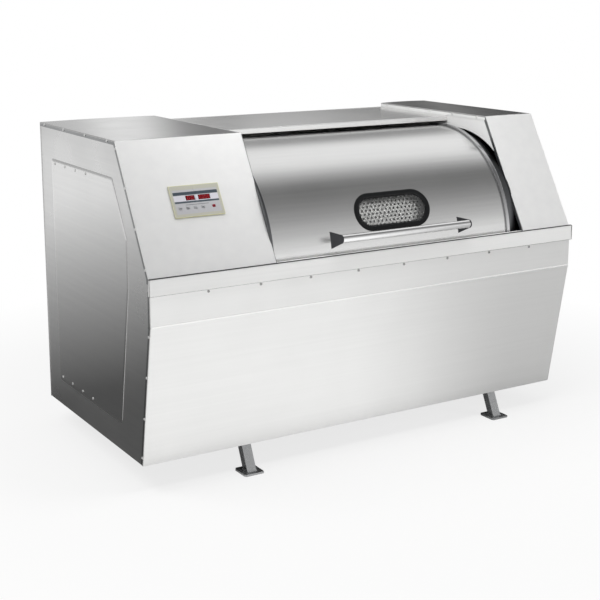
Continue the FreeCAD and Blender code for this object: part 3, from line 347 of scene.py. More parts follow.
def add_node(tree: bpy.types.NodeTree, kind: str, sockets: dict | None = None,
             **settings: object) -> bpy.types.Node:
    """Adds a node, gives it its settings, and sets or links its sockets.

    Args:
        tree: node tree that gets the node.
        kind: Blender's name of the node.
        sockets: input name or number to a value or to the output that feeds it.
        settings: attributes of the node.

    Returns:
        The node.
    """
    node = tree.nodes.new(kind)
    for name, value in settings.items():
        setattr(node, name, value)
    for name, value in (sockets or {}).items():
        if isinstance(value, bpy.types.NodeSocket):
            tree.links.new(value, node.inputs[name])
        else:
            node.inputs[name].default_value = value
    return node


@dataclass(frozen=True)
class Finish:
    """Surface of one real material: two tones that drift, a range of gloss and a fine relief."""

    name: str
    slot: str
    tone: str
    second_tone: str
    metallic: float
    gloss: tuple[float, float]
    grain_mm: tuple[float, float, float]
    relief_mm: float
    smudge_mm: float = 160.0
    shader: tuple[tuple[str, float], ...] = ()

    def colour(self, tree: bpy.types.NodeTree, grain: bpy.types.NodeSocket) -> bpy.types.NodeSocket:
        """Output that carries the colour: the two tones mixed by the grain."""
        mix = add_node(tree, "ShaderNodeMix", {0: grain, 6: linear(self.tone), 7: linear(self.second_tone)},
                       data_type="RGBA")
        return mix.outputs[2]

    def material(self) -> bpy.types.Material:
        """The finish as a material, made once."""
        found = bpy.data.materials.get(self.name)
        if found:
            return found
        made = bpy.data.materials.new(self.name)
        made.use_nodes = True
        tree = made.node_tree
        tree.nodes.clear()
        place = add_node(tree, "ShaderNodeTexCoord").outputs["Object"]
        stretch = add_node(tree, "ShaderNodeMapping", {
            "Vector": place, "Scale": [1 / (g * MM) for g in self.grain_mm]})
        grain = add_node(tree, "ShaderNodeTexNoise", {
            "Vector": stretch.outputs[0], "Scale": 1.0, "Detail": 2.0})
        smudge = add_node(tree, "ShaderNodeTexNoise", {
            "Vector": place, "Scale": 1 / (self.smudge_mm * MM), "Detail": 4.0, "Roughness": 0.6})
        blur = add_node(tree, "ShaderNodeMapRange",
                        dict(zip(MAP_RANGE, (smudge.outputs[0], *NOISE_RANGE, *self.gloss))))
        relief = add_node(tree, "ShaderNodeBump", {
            "Height": grain.outputs[0], "Distance": self.relief_mm * MM, "Strength": 0.5})
        shader = add_node(tree, "ShaderNodeBsdfPrincipled", {
            "Base Color": self.colour(tree, grain.outputs[0]), "Metallic": self.metallic,
            "Roughness": blur.outputs[0], "Normal": relief.outputs[0], **dict(self.shader)})
        out = add_node(tree, "ShaderNodeOutputMaterial", {"Surface": shader.outputs[0]})
        out.is_active_output = True
        return made


@dataclass(frozen=True)
class GlowingFinish(Finish):
    """A finish that also gives off light of its own colour."""

    glow: str = "#000000"
    glow_strength: float = 1.0

    def material(self) -> bpy.types.Material:
        """The finish with its glow."""
        made = super().material()
        shader = next(n for n in made.node_tree.nodes if n.type == "BSDF_PRINCIPLED")
        shader.inputs["Emission Color"].default_value = linear(self.glow)
        shader.inputs["Emission Strength"].default_value = self.glow_strength
        return made


@dataclass(frozen=True)
class PrintedFilm(Finish):
    """Printed film: bands of (left, right, low, high, colour) in shares of the film, over its ground tone."""

    bands: tuple[tuple[float, float, float, float, str], ...] = ()

    def colour(self, tree: bpy.types.NodeTree, grain: bpy.types.NodeSocket) -> bpy.types.NodeSocket:
        """The ground tone with each band laid over it where the film's own coordinates lie inside."""
        result = super().colour(tree, grain)
        film = add_node(tree, "ShaderNodeUVMap", uv_map="film")
        split = add_node(tree, "ShaderNodeSeparateXYZ", {0: film.outputs[0]})
        for left, right, low, high, code in self.bands:
            inside = None
            for axis, bound, test in ((0, left, "GREATER_THAN"), (0, right, "LESS_THAN"),
                                      (1, low, "GREATER_THAN"), (1, high, "LESS_THAN")):
                passed = add_node(tree, "ShaderNodeMath", {0: split.outputs[axis], 1: bound}, operation=test)
                if inside is not None:
                    passed = add_node(tree, "ShaderNodeMath", {0: inside.outputs[0], 1: passed.outputs[0]},
                                      operation="MULTIPLY")
                inside = passed
            laid = add_node(tree, "ShaderNodeMix", {0: inside.outputs[0], 6: result, 7: linear(code)},
                            data_type="RGBA")
            result = laid.outputs[2]
        return result


# Stainless sheet, brushed: soft reflections with faint streaks along the brushing. Real streaks are under
# 1 mm wide, and are drawn 12 mm wide so that they show.
FRONT_STEEL = Finish("brushed stainless apron sheet", "panel_steel", "#EDEDEC", "#E8E8E7", 0.65,
                     (0.34, 0.42), (900, 12, 12), 0.012)
SIDE_STEEL = Finish("brushed stainless side sheet", "panel_steel", "#E9E9E8", "#DFDFDF", 1.0,
                    (0.26, 0.34), (12, 900, 12), 0.03, 400)
REAR_STEEL = Finish("brushed stainless rear sheet", "panel_steel", "#E4E4E3", "#DADADA", 1.0,
                    (0.28, 0.36), (900, 12, 12), 0.03, 400)
TOP_STEEL = Finish("brushed stainless cover sheet", "panel_steel", "#E2E2E1", "#DADADA", 1.0,
                   (0.16, 0.21), (900, 12, 12), 0.015)
# Finer brushing on the lids: a little glossier than the sheet round them.
LID_STEEL = Finish("finely brushed stainless lid", "panel_steel", "#E4E4E3", "#DBDBDB", 1.0,
                   (0.16, 0.22), (12, 900, 12), 0.03, 400)
# Stainless sheet, bead blasted: its fine matt relief scatters light almost like white enamel.
BLASTED_STEEL = Finish("bead blasted stainless sheet", "panel_steel", "#F2F2F1", "#EAEAEA", 0.3,
                       (0.5, 0.6), (40, 40, 40), 0.03, 300)
# The centre cover is brushed over blasting: half mirror, half white.
CENTRE_STEEL = Finish("blasted and brushed stainless cover", "panel_steel", "#EAEAE9", "#E2E2E1", 0.72,
                      (0.2, 0.26), (900, 12, 12), 0.006)
# The sill is paler and more diffuse than the apron under it: painted light for its brighter look.
SILL_STEEL = Finish("blasted and brushed stainless sill", "panel_steel", "#F8F8F7", "#F0F0EF", 0.35,
                    (0.3, 0.4), (900, 12, 12), 0.006)
# A strip over the apron's fold, paler and glossier than the sheet: a painted highlight line.
FOLD_STEEL = Finish("burnished stainless fold", "panel_steel", "#F2F2F1", "#EAEAE9", 1.0,
                    (0.14, 0.2), (900, 12, 12), 0.004, 300)
# Wall plates, blasted coarser and pickled: nearly white.
WALL_STEEL = Finish("shot blasted stainless wall plate", "panel_steel", "#FAFAF9", "#F3F3F2", 0.1,
                    (0.5, 0.6), (40, 40, 40), 0.03, 300)
# Flanges and edge strips: greyer than the brushed faces that they frame, a painted shade.
FLANGE_STEEL = Finish("mill finish stainless flange", "panel_steel", "#A2A3A4", "#969798", 1.0,
                      (0.3, 0.4), (12, 900, 12), 0.02, 400)
# Stainless door skin, buffed finer than the panels: its curve draws the surroundings out into bands.
DOOR_STEEL = Finish("buffed stainless door skin", "panel_steel", "#E4E4E3", "#DADADA", 1.0,
                    (0.2, 0.26), (900, 12, 12), 0.02, 300)
# Polished stainless: nearly a mirror, with dark and bright edges.
POLISHED_STEEL = Finish("polished stainless bar", "rail_steel", "#EDEDED", "#E2E2E2", 1.0,
                        (0.14, 0.2), (60, 4, 4), 0.006, 60)
# The channel is a darker copy of the polished bar: painted shade for the channel's recess.
RAIL_STEEL = Finish("polished stainless channel", "rail_steel", "#CFCFD0", "#C2C2C4", 1.0,
                    (0.14, 0.2), (60, 4, 4), 0.006, 60)
# Dark steel strip with a low sheen: painted shade in the rails' recesses.
STRIP_STEEL = Finish("oiled hot rolled strip", "rail_steel", "#7A7B7D", "#6C6D6F", 1.0,
                     (0.26, 0.36), (60, 4, 4), 0.01, 60)
# Zinc casting, dark passivated: a low grey sheen.
BRACKET_ZINC = Finish("dark passivated zinc casting", "rail_steel", "#4A4B4E", "#3F4043", 0.7,
                      (0.34, 0.46), (4, 4, 4), 0.04, 20)
# Stainless tub and wall plate, mill finish: duller and greyer than the panels.
MILL_STEEL = Finish("mill finish stainless plate", "panel_steel", "#C4C5C5", "#B4B5B5", 0.95,
                    (0.36, 0.5), (200, 8, 8), 0.02)
# Perforated stainless, pickled: bright, slightly uneven.
DRUM_STEEL = Finish("pickled perforated stainless", "drum_steel", "#C4C4C2", "#B6B6B4", 0.9,
                    (0.4, 0.5), (80, 8, 8), 0.02, 60)
# Grey metallic enamel on structural steel: slight orange peel, and a sheen that sets its faces apart.
LEG_PAINT = Finish("grey metallic enamel on steel tube", "leg_paint", "#C2C3C4", "#B8B9BA", 0.9,
                   (0.22, 0.32), (3, 3, 3), 0.02, 40)
FRAME_PAINT = Finish("grey primer on frame tube", "frame_paint", "#7C7E80", "#717375", 0.0,
                     (0.5, 0.62), (4, 4, 4), 0.06, 80)
MOTOR_PAINT = Finish("blue grey motor enamel", "motor_paint", "#4F5F6B", "#465560", 0.0,
                     (0.38, 0.5), (4, 4, 4), 0.08, 60)
# Cast iron under primer: grainy sand-cast skin.
GEAR_IRON = Finish("primed cast iron gearbox", "gear_iron", "#5B5F63", "#4F5357", 0.1,
                   (0.5, 0.65), (6, 6, 6), 0.25, 50)
BEARING_IRON = Finish("cast iron bearing housing", "bearing_iron", "#5A5A59", "#4C4C4B", 0.3,
                      (0.5, 0.62), (5, 5, 5), 0.25, 40)
PULLEY_IRON = Finish("turned cast iron", "pulley_iron", "#77787A", "#68696B", 0.9,
                     (0.35, 0.5), (3, 30, 3), 0.05, 40)
# Ground shaft steel: fine turning lines round the shaft.
SHAFT_STEEL = Finish("ground shaft steel", "shaft_steel", "#B4B5B6", "#A3A4A5", 1.0,
                     (0.22, 0.32), (2, 40, 40), 0.01, 50)
# Black EPDM rubber: matt and dark, with a moulded bloom.
RUBBER = Finish("black EPDM rubber", "rubber", "#0C0D0E", "#131415", 0.0,
                (0.38, 0.55), (4, 4, 4), 0.05, 30,
                (("Specular IOR Level", 0.25),))
BELT_RUBBER = Finish("wrapped V belt rubber", "belt", "#1E1D1C", "#292725", 0.0,
                     (0.6, 0.75), (2, 2, 2), 0.15, 20)
NYLON = Finish("natural nylon", "nylon", "#E6E2D3", "#DAD5C4", 0.0, (0.35, 0.48), (6, 6, 6), 0.02, 30)
# Toughened glass: clear, with a faint film of soap on it.
GLASS = Finish("toughened glass", "glass", "#F6F6F6", "#F0F0F0", 0.0,
               (0.01, 0.05), (40, 40, 40), 0.004, 70,
               (("Transmission Weight", 1.0), ("IOR", 1.5)))
# Printed polyester film: a matt grey ground with flat bands of colour.
FASCIA_BORDER = 0.055
FASCIA = PrintedFilm(
    "printed polyester film", "fascia", "#B9B8AB", "#B2B1A4", 0.0, (0.38, 0.5), (2, 2, 2), 0.01, 40,
    bands=(
        (FASCIA_BORDER, 1 - FASCIA_BORDER, 0.1, 0.86, "#B5B5B8"),
        (FASCIA_BORDER, 1 - FASCIA_BORDER, 0.69, 0.79, "#3C464F"),
        (FASCIA_BORDER, 1 - FASCIA_BORDER, 0.50, 0.68, "#CFCED6"),
        (FASCIA_BORDER, 1 - FASCIA_BORDER, 0.44, 0.495, "#434D55"),
        (0.26, 0.72, 0.37, 0.39, "#7C7D80"),
        (0.0, 1.0, 0.0, 0.014, "#CFCDA4"),
        (0.0, 1.0, 0.986, 1.0, "#CFCDA4"),
        (0.0, 0.009, 0.0, 1.0, "#CFCDA4"),
        (0.991, 1.0, 0.0, 1.0, "#CFCDA4"),
    ),
)
# Red acrylic over light emitting digits: deep red and glossy.
DISPLAY = GlowingFinish("red acrylic window", "display", "#5E0914", "#4C0710", 0.0,
                        (0.08, 0.16), (5, 5, 5), 0.01, 20, glow="#70060F", glow_strength=0.12)
DIGITS = GlowingFinish("lit red segments", "display", "#A0121E", "#8C0E18", 0.0,
                       (0.3, 0.4), (2, 2, 2), 0.01, 20, glow="#D8202A", glow_strength=0.3)
# Moulded ABS keys with a fine spark-eroded grain.
KEY = Finish("grey ABS key", "key", "#B4B5B8", "#AAABAE", 0.0, (0.4, 0.52), (1.5, 1.5, 1.5), 0.04, 8)
KEY_RED = Finish("red ABS key", "key_red", "#A21F33", "#92182B", 0.0,
                 (0.35, 0.45), (1.5, 1.5, 1.5), 0.04, 8)
# Nickel plated pan head screws; the flange screws take a paler, more diffuse copy: a painted highlight.
BRIGHT_SCREW = Finish("new nickel plated screw", "screw", "#EFEFEE", "#E6E6E5", 0.6,
                      (0.3, 0.4), (3, 3, 3), 0.01, 12)
SCREW = Finish("nickel plated steel screw", "screw", "#B5B5B4", "#A8A8A7", 1.0,
               (0.22, 0.32), (3, 3, 3), 0.02, 12)


# Pieces.

def piece(name: str, surface: Surface, finish: Finish, body: str, replaces: Sequence[str] = (),
          sharp: float = 32.0, film: tuple | None = None) -> bpy.types.Object:
    """Makes a piece from a surface, dresses it and lets it ride on its body.

    Args:
        name: name of the piece.
        surface: its points and faces.
        finish: its finish.
        body: body that it moves with.
        replaces: nodes that it stands for.
        sharp: edges that turn by more than this many degrees stay sharp.
        film: (origin, right, up) of film coordinates, whose directions are as long as the film.

    Returns:
        The piece.
    """
    mesh = bpy.data.meshes.new(name)
    loops = np.concatenate([surface.quads.ravel(), *surface.caps]).astype(np.int32)
    sizes = np.concatenate([np.full(len(surface.quads), 4), [len(cap) for cap in surface.caps]])
    mesh.vertices.add(len(surface.points))
    mesh.vertices.foreach_set("co", surface.points.astype(np.float32).ravel())
    mesh.loops.add(len(loops))
    mesh.loops.foreach_set("vertex_index", loops)
    mesh.polygons.add(len(sizes))
    mesh.polygons.foreach_set("loop_start", (np.cumsum(sizes) - sizes).astype(np.int32))
    mesh.update(calc_edges=True)
    work = bmesh.new()
    work.from_mesh(mesh)
    bmesh.ops.remove_doubles(work, verts=work.verts, dist=WELD)
    bmesh.ops.delete(work, geom=[v for v in work.verts if not v.link_faces], context="VERTS")
    bmesh.ops.recalc_face_normals(work, faces=work.faces)
    work.to_mesh(mesh)
    work.free()
    mesh.shade_smooth()
    mesh.set_sharp_from_angle(angle=math.radians(sharp))
    if film:
        origin, right, up = (np.asarray(v, float) for v in film)
        places = np.empty(len(mesh.vertices) * 3)
        mesh.vertices.foreach_get("co", places)
        corner = np.empty(len(mesh.loops), np.int32)
        mesh.loops.foreach_get("vertex_index", corner)
        away = places.reshape(-1, 3)[corner] - origin
        shares = np.stack([away @ right / (right @ right), away @ up / (up @ up)], -1)
        mesh.uv_layers.new(name="film").data.foreach_set("uv", shares.astype(np.float32).ravel())
    made = bpy.data.objects.new(name, mesh)
    bpy.context.scene.collection.objects.link(made)
    made.data.materials.append(finish.material())
    level = made.modifiers.new("even faces", "WEIGHTED_NORMAL")
    level.keep_sharp = True
    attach(made, body)
    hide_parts(*replaces)
    log.info("%s: %d faces on %s", name, len(mesh.polygons), body)
    return made


def dress(node: str, finish: Finish) -> None:
    """Gives a node of the frame its finish."""
    mesh = frame["nodes"][node].data
    mesh.materials.clear()
    mesh.materials.append(finish.material())
    log.info("%s: %s", node, finish.name)


def corners(node: str) -> tuple[Array, Array]:
    """Lowest and highest corner of a node as arrays."""
    low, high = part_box(node)
    return np.array(low), np.array(high)


def joint_place(name: str) -> Array:
    """Point on the axis of a joint."""
    return np.array(next(j["pos_m"] for j in frame["joints"] if j["name"] == name))


def round_axis(x: Array, radius: Array, angle: Array) -> Array:
    """Places round the drum axis: (x, axis Y - radius cos angle, axis Z + radius sin angle)."""
    _, y, z = joint_place("door_slide")
    turn = np.radians(angle)
    return stacked(x, y - radius * np.cos(turn), z + radius * np.sin(turn))


@dataclass
class Cabinet:
    """Casework of folded stainless sheet: apron, sill, front panels, sides, covers and rear panel."""

    wall: float = 0.002
    flange: float = 0.018
    bend: float = 0.004
    fold_height: float = 0.655
    fold_rise: float = 0.0009
    fold_half: float = 0.009
    fold_steps: int = 17
    fold_line: tuple[int, int] = (10, 15)
    apron_lean: float = 0.097
    lip_return: float = 0.007
    lip_lean: float = 0.0016
    trim_rise: float = 0.003
    trim_square: float = 0.6
    flange_lean: float = 0.001
    centre_lip: float = 0.022
    crown: float = 0.002
    crown_steps: int = 17
    cover_rim: float = 0.0044
    bay_strip: tuple[float, float] = (0.0015, 0.014)
    bay_bend: float = 0.0016
    ledge_depth: float = 0.021
    cover_corner: float = 0.016
    cover_edge: float = 0.015
    cover_front: float = 0.197
    cover_knee_low: float = 0.760
    cover_knee_high: float = 0.945
    vent_count: int = 6
    vent_height: float = 0.009
    vent_pitch: float = 0.036
    hood_rise: float = 0.007
    hood_seat: float = 0.0002
    hood_vents: float = 2.2
    hood_square: int = 8
    hood_grid: tuple[int, int] = (25, 9)

    def __post_init__(self) -> None:
        """Reads the places that the frame gives."""
        self.apron_low, self.apron_high = corners("apron")
        self.sill_low, self.sill_high = corners("front_sill")
        self.left_low, self.left_high = corners("left_front_panel")
        self.top_front = corners("left_top_cover")[0][1]
        self.half = self.apron_high[0]
        self.bay = (self.left_high[0], corners("right_front_panel")[0][0])
        self.back = corners("rear_panel")[1][1]
        self.slope_foot = np.array([self.left_low[1], self.sill_high[2]])
        self.slope_head = np.array([self.top_front, self.left_high[2]])

    def apron(self) -> None:
        """Apron with an upright band, side flanges in painted shade, a strip on the fold with a painted highlight,
        and a flat bar as its lower hem.

        Along the fold the sheet swells by a squared cosine, as the press leaves it.
        """
        front, low, high = self.apron_low[1], self.apron_low[2], self.apron_high[2]
        foot, half = front + self.apron_lean, self.half
        swell = np.linspace(-self.fold_half, self.fold_half, self.fold_steps)
        z = np.concatenate([[low], self.fold_height + swell, [high]])
        lean = self.apron_lean * np.clip((self.fold_height - z) / (self.fold_height - low), 0, 1)
        phase = np.clip((z - self.fold_height) / self.fold_half, -1, 1) * math.pi / 2
        profile = np.stack([front + lean - self.fold_rise * np.cos(phase) ** 2, z], -1)
        tuck = self.bend + self.wall / 4
        across = rounded([(-half, tuck), (-half, 0), (half, 0), (half, tuck)], self.bend)
        skin = folded(profile, across, Run.X, self.wall)
        # Strip laid over the fold: a painted highlight line.
        line = profile[slice(*self.fold_line)] - [self.wall / 10, 0.0]
        fold = folded(line, flat_run(tuck - half, half - tuck), Run.X, self.wall / 4)
        edges = np.array([[(-half, self.flange), (-half, tuck)], [(half, tuck), (half, self.flange)]])
        flanges = [folded(profile, edge, Run.X, self.wall) for edge in edges]
        inset = half - 2 * self.flange
        hem = rounded([(foot + self.flange, low), (foot + self.wall, low),
                       (foot + self.wall, low + self.flange / 2)], self.bend)
        lip = folded(hem[::-1], flat_run(-inset, inset), Run.X, -self.wall)
        piece("apron_sheet", skin, FRONT_STEEL, "cabinet", ["apron"])
        piece("apron_fold_highlight", fold, FOLD_STEEL, "cabinet")
        piece("apron_flanges", joined(flanges), FLANGE_STEEL, "cabinet")
        piece("apron_hem", lip, FRONT_STEEL, "cabinet")

    def sill(self) -> None:
        """Sill: a folded lip with closed ends, a ledge behind it, a black guard on top and right that paints the
        shade line on its edge, and a dark bead under the lip that paints its shadow line.
        """
        (x_low, y_low, z_low), (x_high, y_high, z_high) = self.sill_low, self.sill_high
        guard, back, top_y = self.trim_rise, self.lip_return, y_low + self.lip_lean
        ends = (x_low + guard, x_high - guard)
        profile = rounded([(y_low + back, z_low), (y_low, z_low), (top_y, z_high), (y_high, z_high),
                           (y_high, (z_low + z_high) / 2)], self.bend / 2)
        lip = folded(profile, flat_run(*ends), Run.X, self.wall)
        outline = rounded([(y_low, z_low), (y_high, z_low), (y_high, z_high), (top_y, z_high)],
                          self.bend / 2, closed=True)
        caps = [plate(outline, soft_edge(self.wall, self.wall / 3), (x, 0, 0), BACK, UP)
                for x in (ends[0], ends[1] - self.wall)]
        piece("sill_lip", joined([lip, *caps]), SILL_STEEL, "cabinet", ["front_sill"])
        ledge_y, ledge_z = y_high + self.ledge_depth, z_high - self.wall / 4
        ledge = rounded([(y_high - 2 * self.wall, ledge_z), (ledge_y, ledge_z),
                         (ledge_y, z_high - self.flange / 2)], self.bend)
        piece("sill_ledge", folded(ledge, flat_run(*self.bay), Run.X, self.wall), WALL_STEEL, "cabinet")
        # Dark guard along the top and down the right end: painted shade line on the sill's edge.
        middle = (x_high - guard / 2, z_high + guard / 2)
        path = rounded([(-middle[0], middle[1]), middle, (middle[0], z_low)], 2 * guard)
        turn = circle(12)
        depth = y_low + back / 2 + back / 2 * oval(np.cos(turn), self.trim_square)
        swell = guard / 2 * np.sin(turn)
        side = left_of(path)
        strip = stacked(path[:, :1] + swell * side[:, :1], depth[None], path[:, 1:] + swell * side[:, 1:])
        # Dark bead under the lip's lower edge: a painted shadow line.
        bead = stacked(np.array(ends)[:, None], y_low + back / 2 + back / 3 * np.cos(turn),
                       z_low + self.wall / 2 * np.sin(turn))
        piece("sill_guard_shade_lines", tube(strip) + tube(bead), RUBBER, "cabinet", ["sill_edge_trim"])

    def front_panels(self) -> None:
        """Sloped panels: a tuck behind the sill, a soft fold, an outer flange and a strip on the bay edge."""
        tuck = (self.slope_foot[0], self.left_low[2])
        profile = rounded([tuck, self.slope_foot, self.slope_head], self.flange)
        back = self.bend + self.wall / 4
        proud, depth = self.bay_strip
        for name, side, bay in (("left", -1, self.bay[0]), ("right", 1, self.bay[1])):
            edge, order = side * self.half, slice(None, None, -side)
            face = rounded([(edge, back), (edge, 0), (bay, 0), (bay, 2 * self.wall)],
                           [0, self.bend, self.bay_bend, 0])
            flange = np.array([(edge, self.flange), (edge, back)])
            strip = np.array([(bay - side * proud, self.wall / 4), (bay - side * proud, depth)])
            panel = folded(profile, face[order], Run.X, self.wall)
            piece(f"{name}_sloped_panel", panel, BLASTED_STEEL, "cabinet", [f"{name}_front_panel"])
            # Outer flange and bay strip in the greyer flange finish: painted shade.
            trim = [folded(profile, path[order], Run.X, self.wall) for path in (flange, strip)]
            piece(f"{name}_panel_edges", joined(trim), FLANGE_STEEL, "cabinet")

    def sides(self) -> None:
        """Side panels and access covers: plates whose outlines follow the apron and the slope."""
        front, low = self.apron_low[1] + self.wall, self.apron_low[2]
        rear, top, lip_low = self.back - self.wall, self.slope_head[1], self.sill_low[2]
        slope = (self.slope_head - self.slope_foot) / (self.slope_head[1] - self.slope_foot[1])
        head, foot = self.slope_head[0] + self.wall, self.slope_foot[0] + self.wall
        outline = [(front + self.apron_lean, low), (rear, low), (rear, top), (head, top),
                   (foot, self.slope_foot[1]), (foot, lip_low + self.flange),
                   (front, lip_low - self.flange / 2), (front, self.fold_height)]
        cover_low, cover_high = corners("left_access_cover")
        fall = (self.cover_knee_low - cover_low[2]) * self.apron_lean / (self.fold_height - low)
        knee = self.sill_low[1] + self.cover_front
        rise = (cover_high[2] - self.cover_knee_high) * slope[0]
        cover = [(knee + fall, cover_low[2]), (cover_high[1], cover_low[2]), (cover_high[1], cover_high[2]),
                 (knee + rise, cover_high[2]), (knee, self.cover_knee_high), (knee, self.cover_knee_low)]
        for name, side in (("left", -1), ("right", 1)):
            panel_low, panel_high = corners(f"{name}_side_panel")
            base = panel_high[0] if side < 0 else panel_low[0]
            flip, order, right = np.array([side, 1.0]), slice(None, None, side), (0, side, 0)
            panel = plate((rounded(outline, 2 * self.wall, 4, True) * flip)[order],
                          soft_edge(self.wall, self.wall / 3), (base, 0, 0), right, UP)
            piece(f"{name}_side_sheet", panel, SIDE_STEEL, "cabinet", [f"{name}_side_panel"])
            lid = plate((rounded(cover, self.cover_corner, 4, True) * flip)[order],
                        eased_edge(self.wall, self.cover_edge), (base + side * self.wall, 0, 0), right, UP)
            piece(f"{name}_access_lid", lid, LID_STEEL, "cabinet", [f"{name}_access_cover"])

    def tops(self) -> None:
        """Top covers: at each end a crowned sheet with a rolled front and flanges, and a lipped centre.

        A crown falls with the square of the distance from the cover's middle.
        """
        roll = np.linspace(math.pi / 2, 0, 5)
        nose = self.wall * (1 - np.stack([np.sin(roll), np.cos(roll)], -1))
        flat = ROUND_STEPS + 2
        for name, side in (("left", -1), ("right", 1)):
            low, high = corners(f"{name}_top_cover")
            across = np.vstack([nose + [low[1], 0.0], [(high[1], 0.0)]])
            rim, order = high[2] - self.cover_rim, slice(None, None, -side)
            top = rounded([(low[0], rim), (low[0], high[2]), (high[0], high[2]), (high[0], rim)], self.bend)
            top = np.insert(top, flat, np.linspace(top[flat - 1], top[flat], self.crown_steps)[1:-1], axis=0)
            top[:, 1] -= self.crown * ((2 * top[:, 0] - low[0] - high[0]) / (high[0] - low[0])) ** 2
            outside, bay = (low[0], high[0])[order]
            foot = outside - side * self.flange_lean
            flange = np.array([(foot, low[2]), (outside, rim - self.crown)])[order]
            inner = np.array([(bay, rim - self.crown), (bay, low[2])])[order]
            for kind, profile, finish, nodes in (("sheet", top, TOP_STEEL, [f"{name}_top_cover"]),
                                                 ("flange", flange, FLANGE_STEEL, []),
                                                 ("return", inner, WALL_STEEL, [])):
                bent = folded(profile, across, Run.Y, self.wall)
                piece(f"{name}_cover_{kind}", bent, finish, "cabinet", nodes)
        low, high = corners("centre_top_cover")
        section = [(low[1], high[2] - self.centre_lip), (low[1], high[2]), (high[1], high[2])]
        profile = rounded(section, self.bend)
        u = np.linspace(-1, 1, self.crown_steps)
        across = np.stack([(low[0] + high[0]) / 2 + u * (high[0] - low[0]) / 2, self.crown * u ** 2], -1)
        piece("centre_cover_sheet", folded(profile, across, Run.X, self.wall), CENTRE_STEEL, "cabinet",
              ["centre_top_cover"])

    def rear(self) -> None:
        """Rear panel with vents under pressed hoods, and a notch above the bay."""
        low, high = corners("rear_panel")
        gear_low, gear_high = corners("gearbox_housing")
        axis = joint_place("drum_spin")[2]
        feet = axis + self.vent_pitch * np.arange(self.vent_count)
        vents = [(gear_low[0], gear_high[0], z, z + self.vent_height) for z in feet]
        holes = list(vents)
        for mount in frame["record"]["mounts"]:
            if mount["name"] in ("water_inlet", "drain_outlet"):
                x, _, z = mount["pos_m"]
                bore = (mount["dims"]["r_mm"] + 1) * MM
                holes.append((x - bore, x + bore, z - bore, z + bore))
        holes.append((self.bay[0], self.bay[1], corners("centre_top_cover")[1][2], high[2] + self.wall))
        x_lines = np.unique([low[0], high[0], *[h[k] for h in holes for k in (0, 1)]])
        z_lines = np.unique([low[2], high[2], *[h[k] for h in holes for k in (2, 3) if h[k] <= high[2]]])
        mirrored = [(-h[1], -h[0], h[2], h[3]) for h in holes]
        panel = windowed(-x_lines[::-1], z_lines, mirrored, self.wall, (0, high[1], 0), (-1, 0, 0), UP)
        piece("rear_sheet", panel, REAR_STEEL, "cabinet", ["rear_panel"])
        across, upward = self.hood_grid
        u, v = np.meshgrid(np.linspace(-1, 1, across), np.linspace(0, 1, upward), indexing="ij")
        swell = high[1] + self.hood_seat + self.hood_rise * (1 - u ** self.hood_square) * np.sqrt(1 - v ** 2)
        hoods = []
        for x_low, x_high, z_low, _ in vents:
            x = (x_low + x_high) / 2 + u * ((x_high - x_low) / 2 + self.vent_height)
            z = z_low - self.vent_height / 4 + v * self.hood_vents * self.vent_height
            hoods.append(sheet(np.stack([x, swell, z], -1), -self.wall / 2))
        piece("vent_hoods", joined(hoods), REAR_STEEL, "cabinet")

    def build(self) -> None:
        """Builds all the casework."""
        self.apron()
        self.sill()
        self.front_panels()
        self.sides()
        self.tops()
        self.rear()


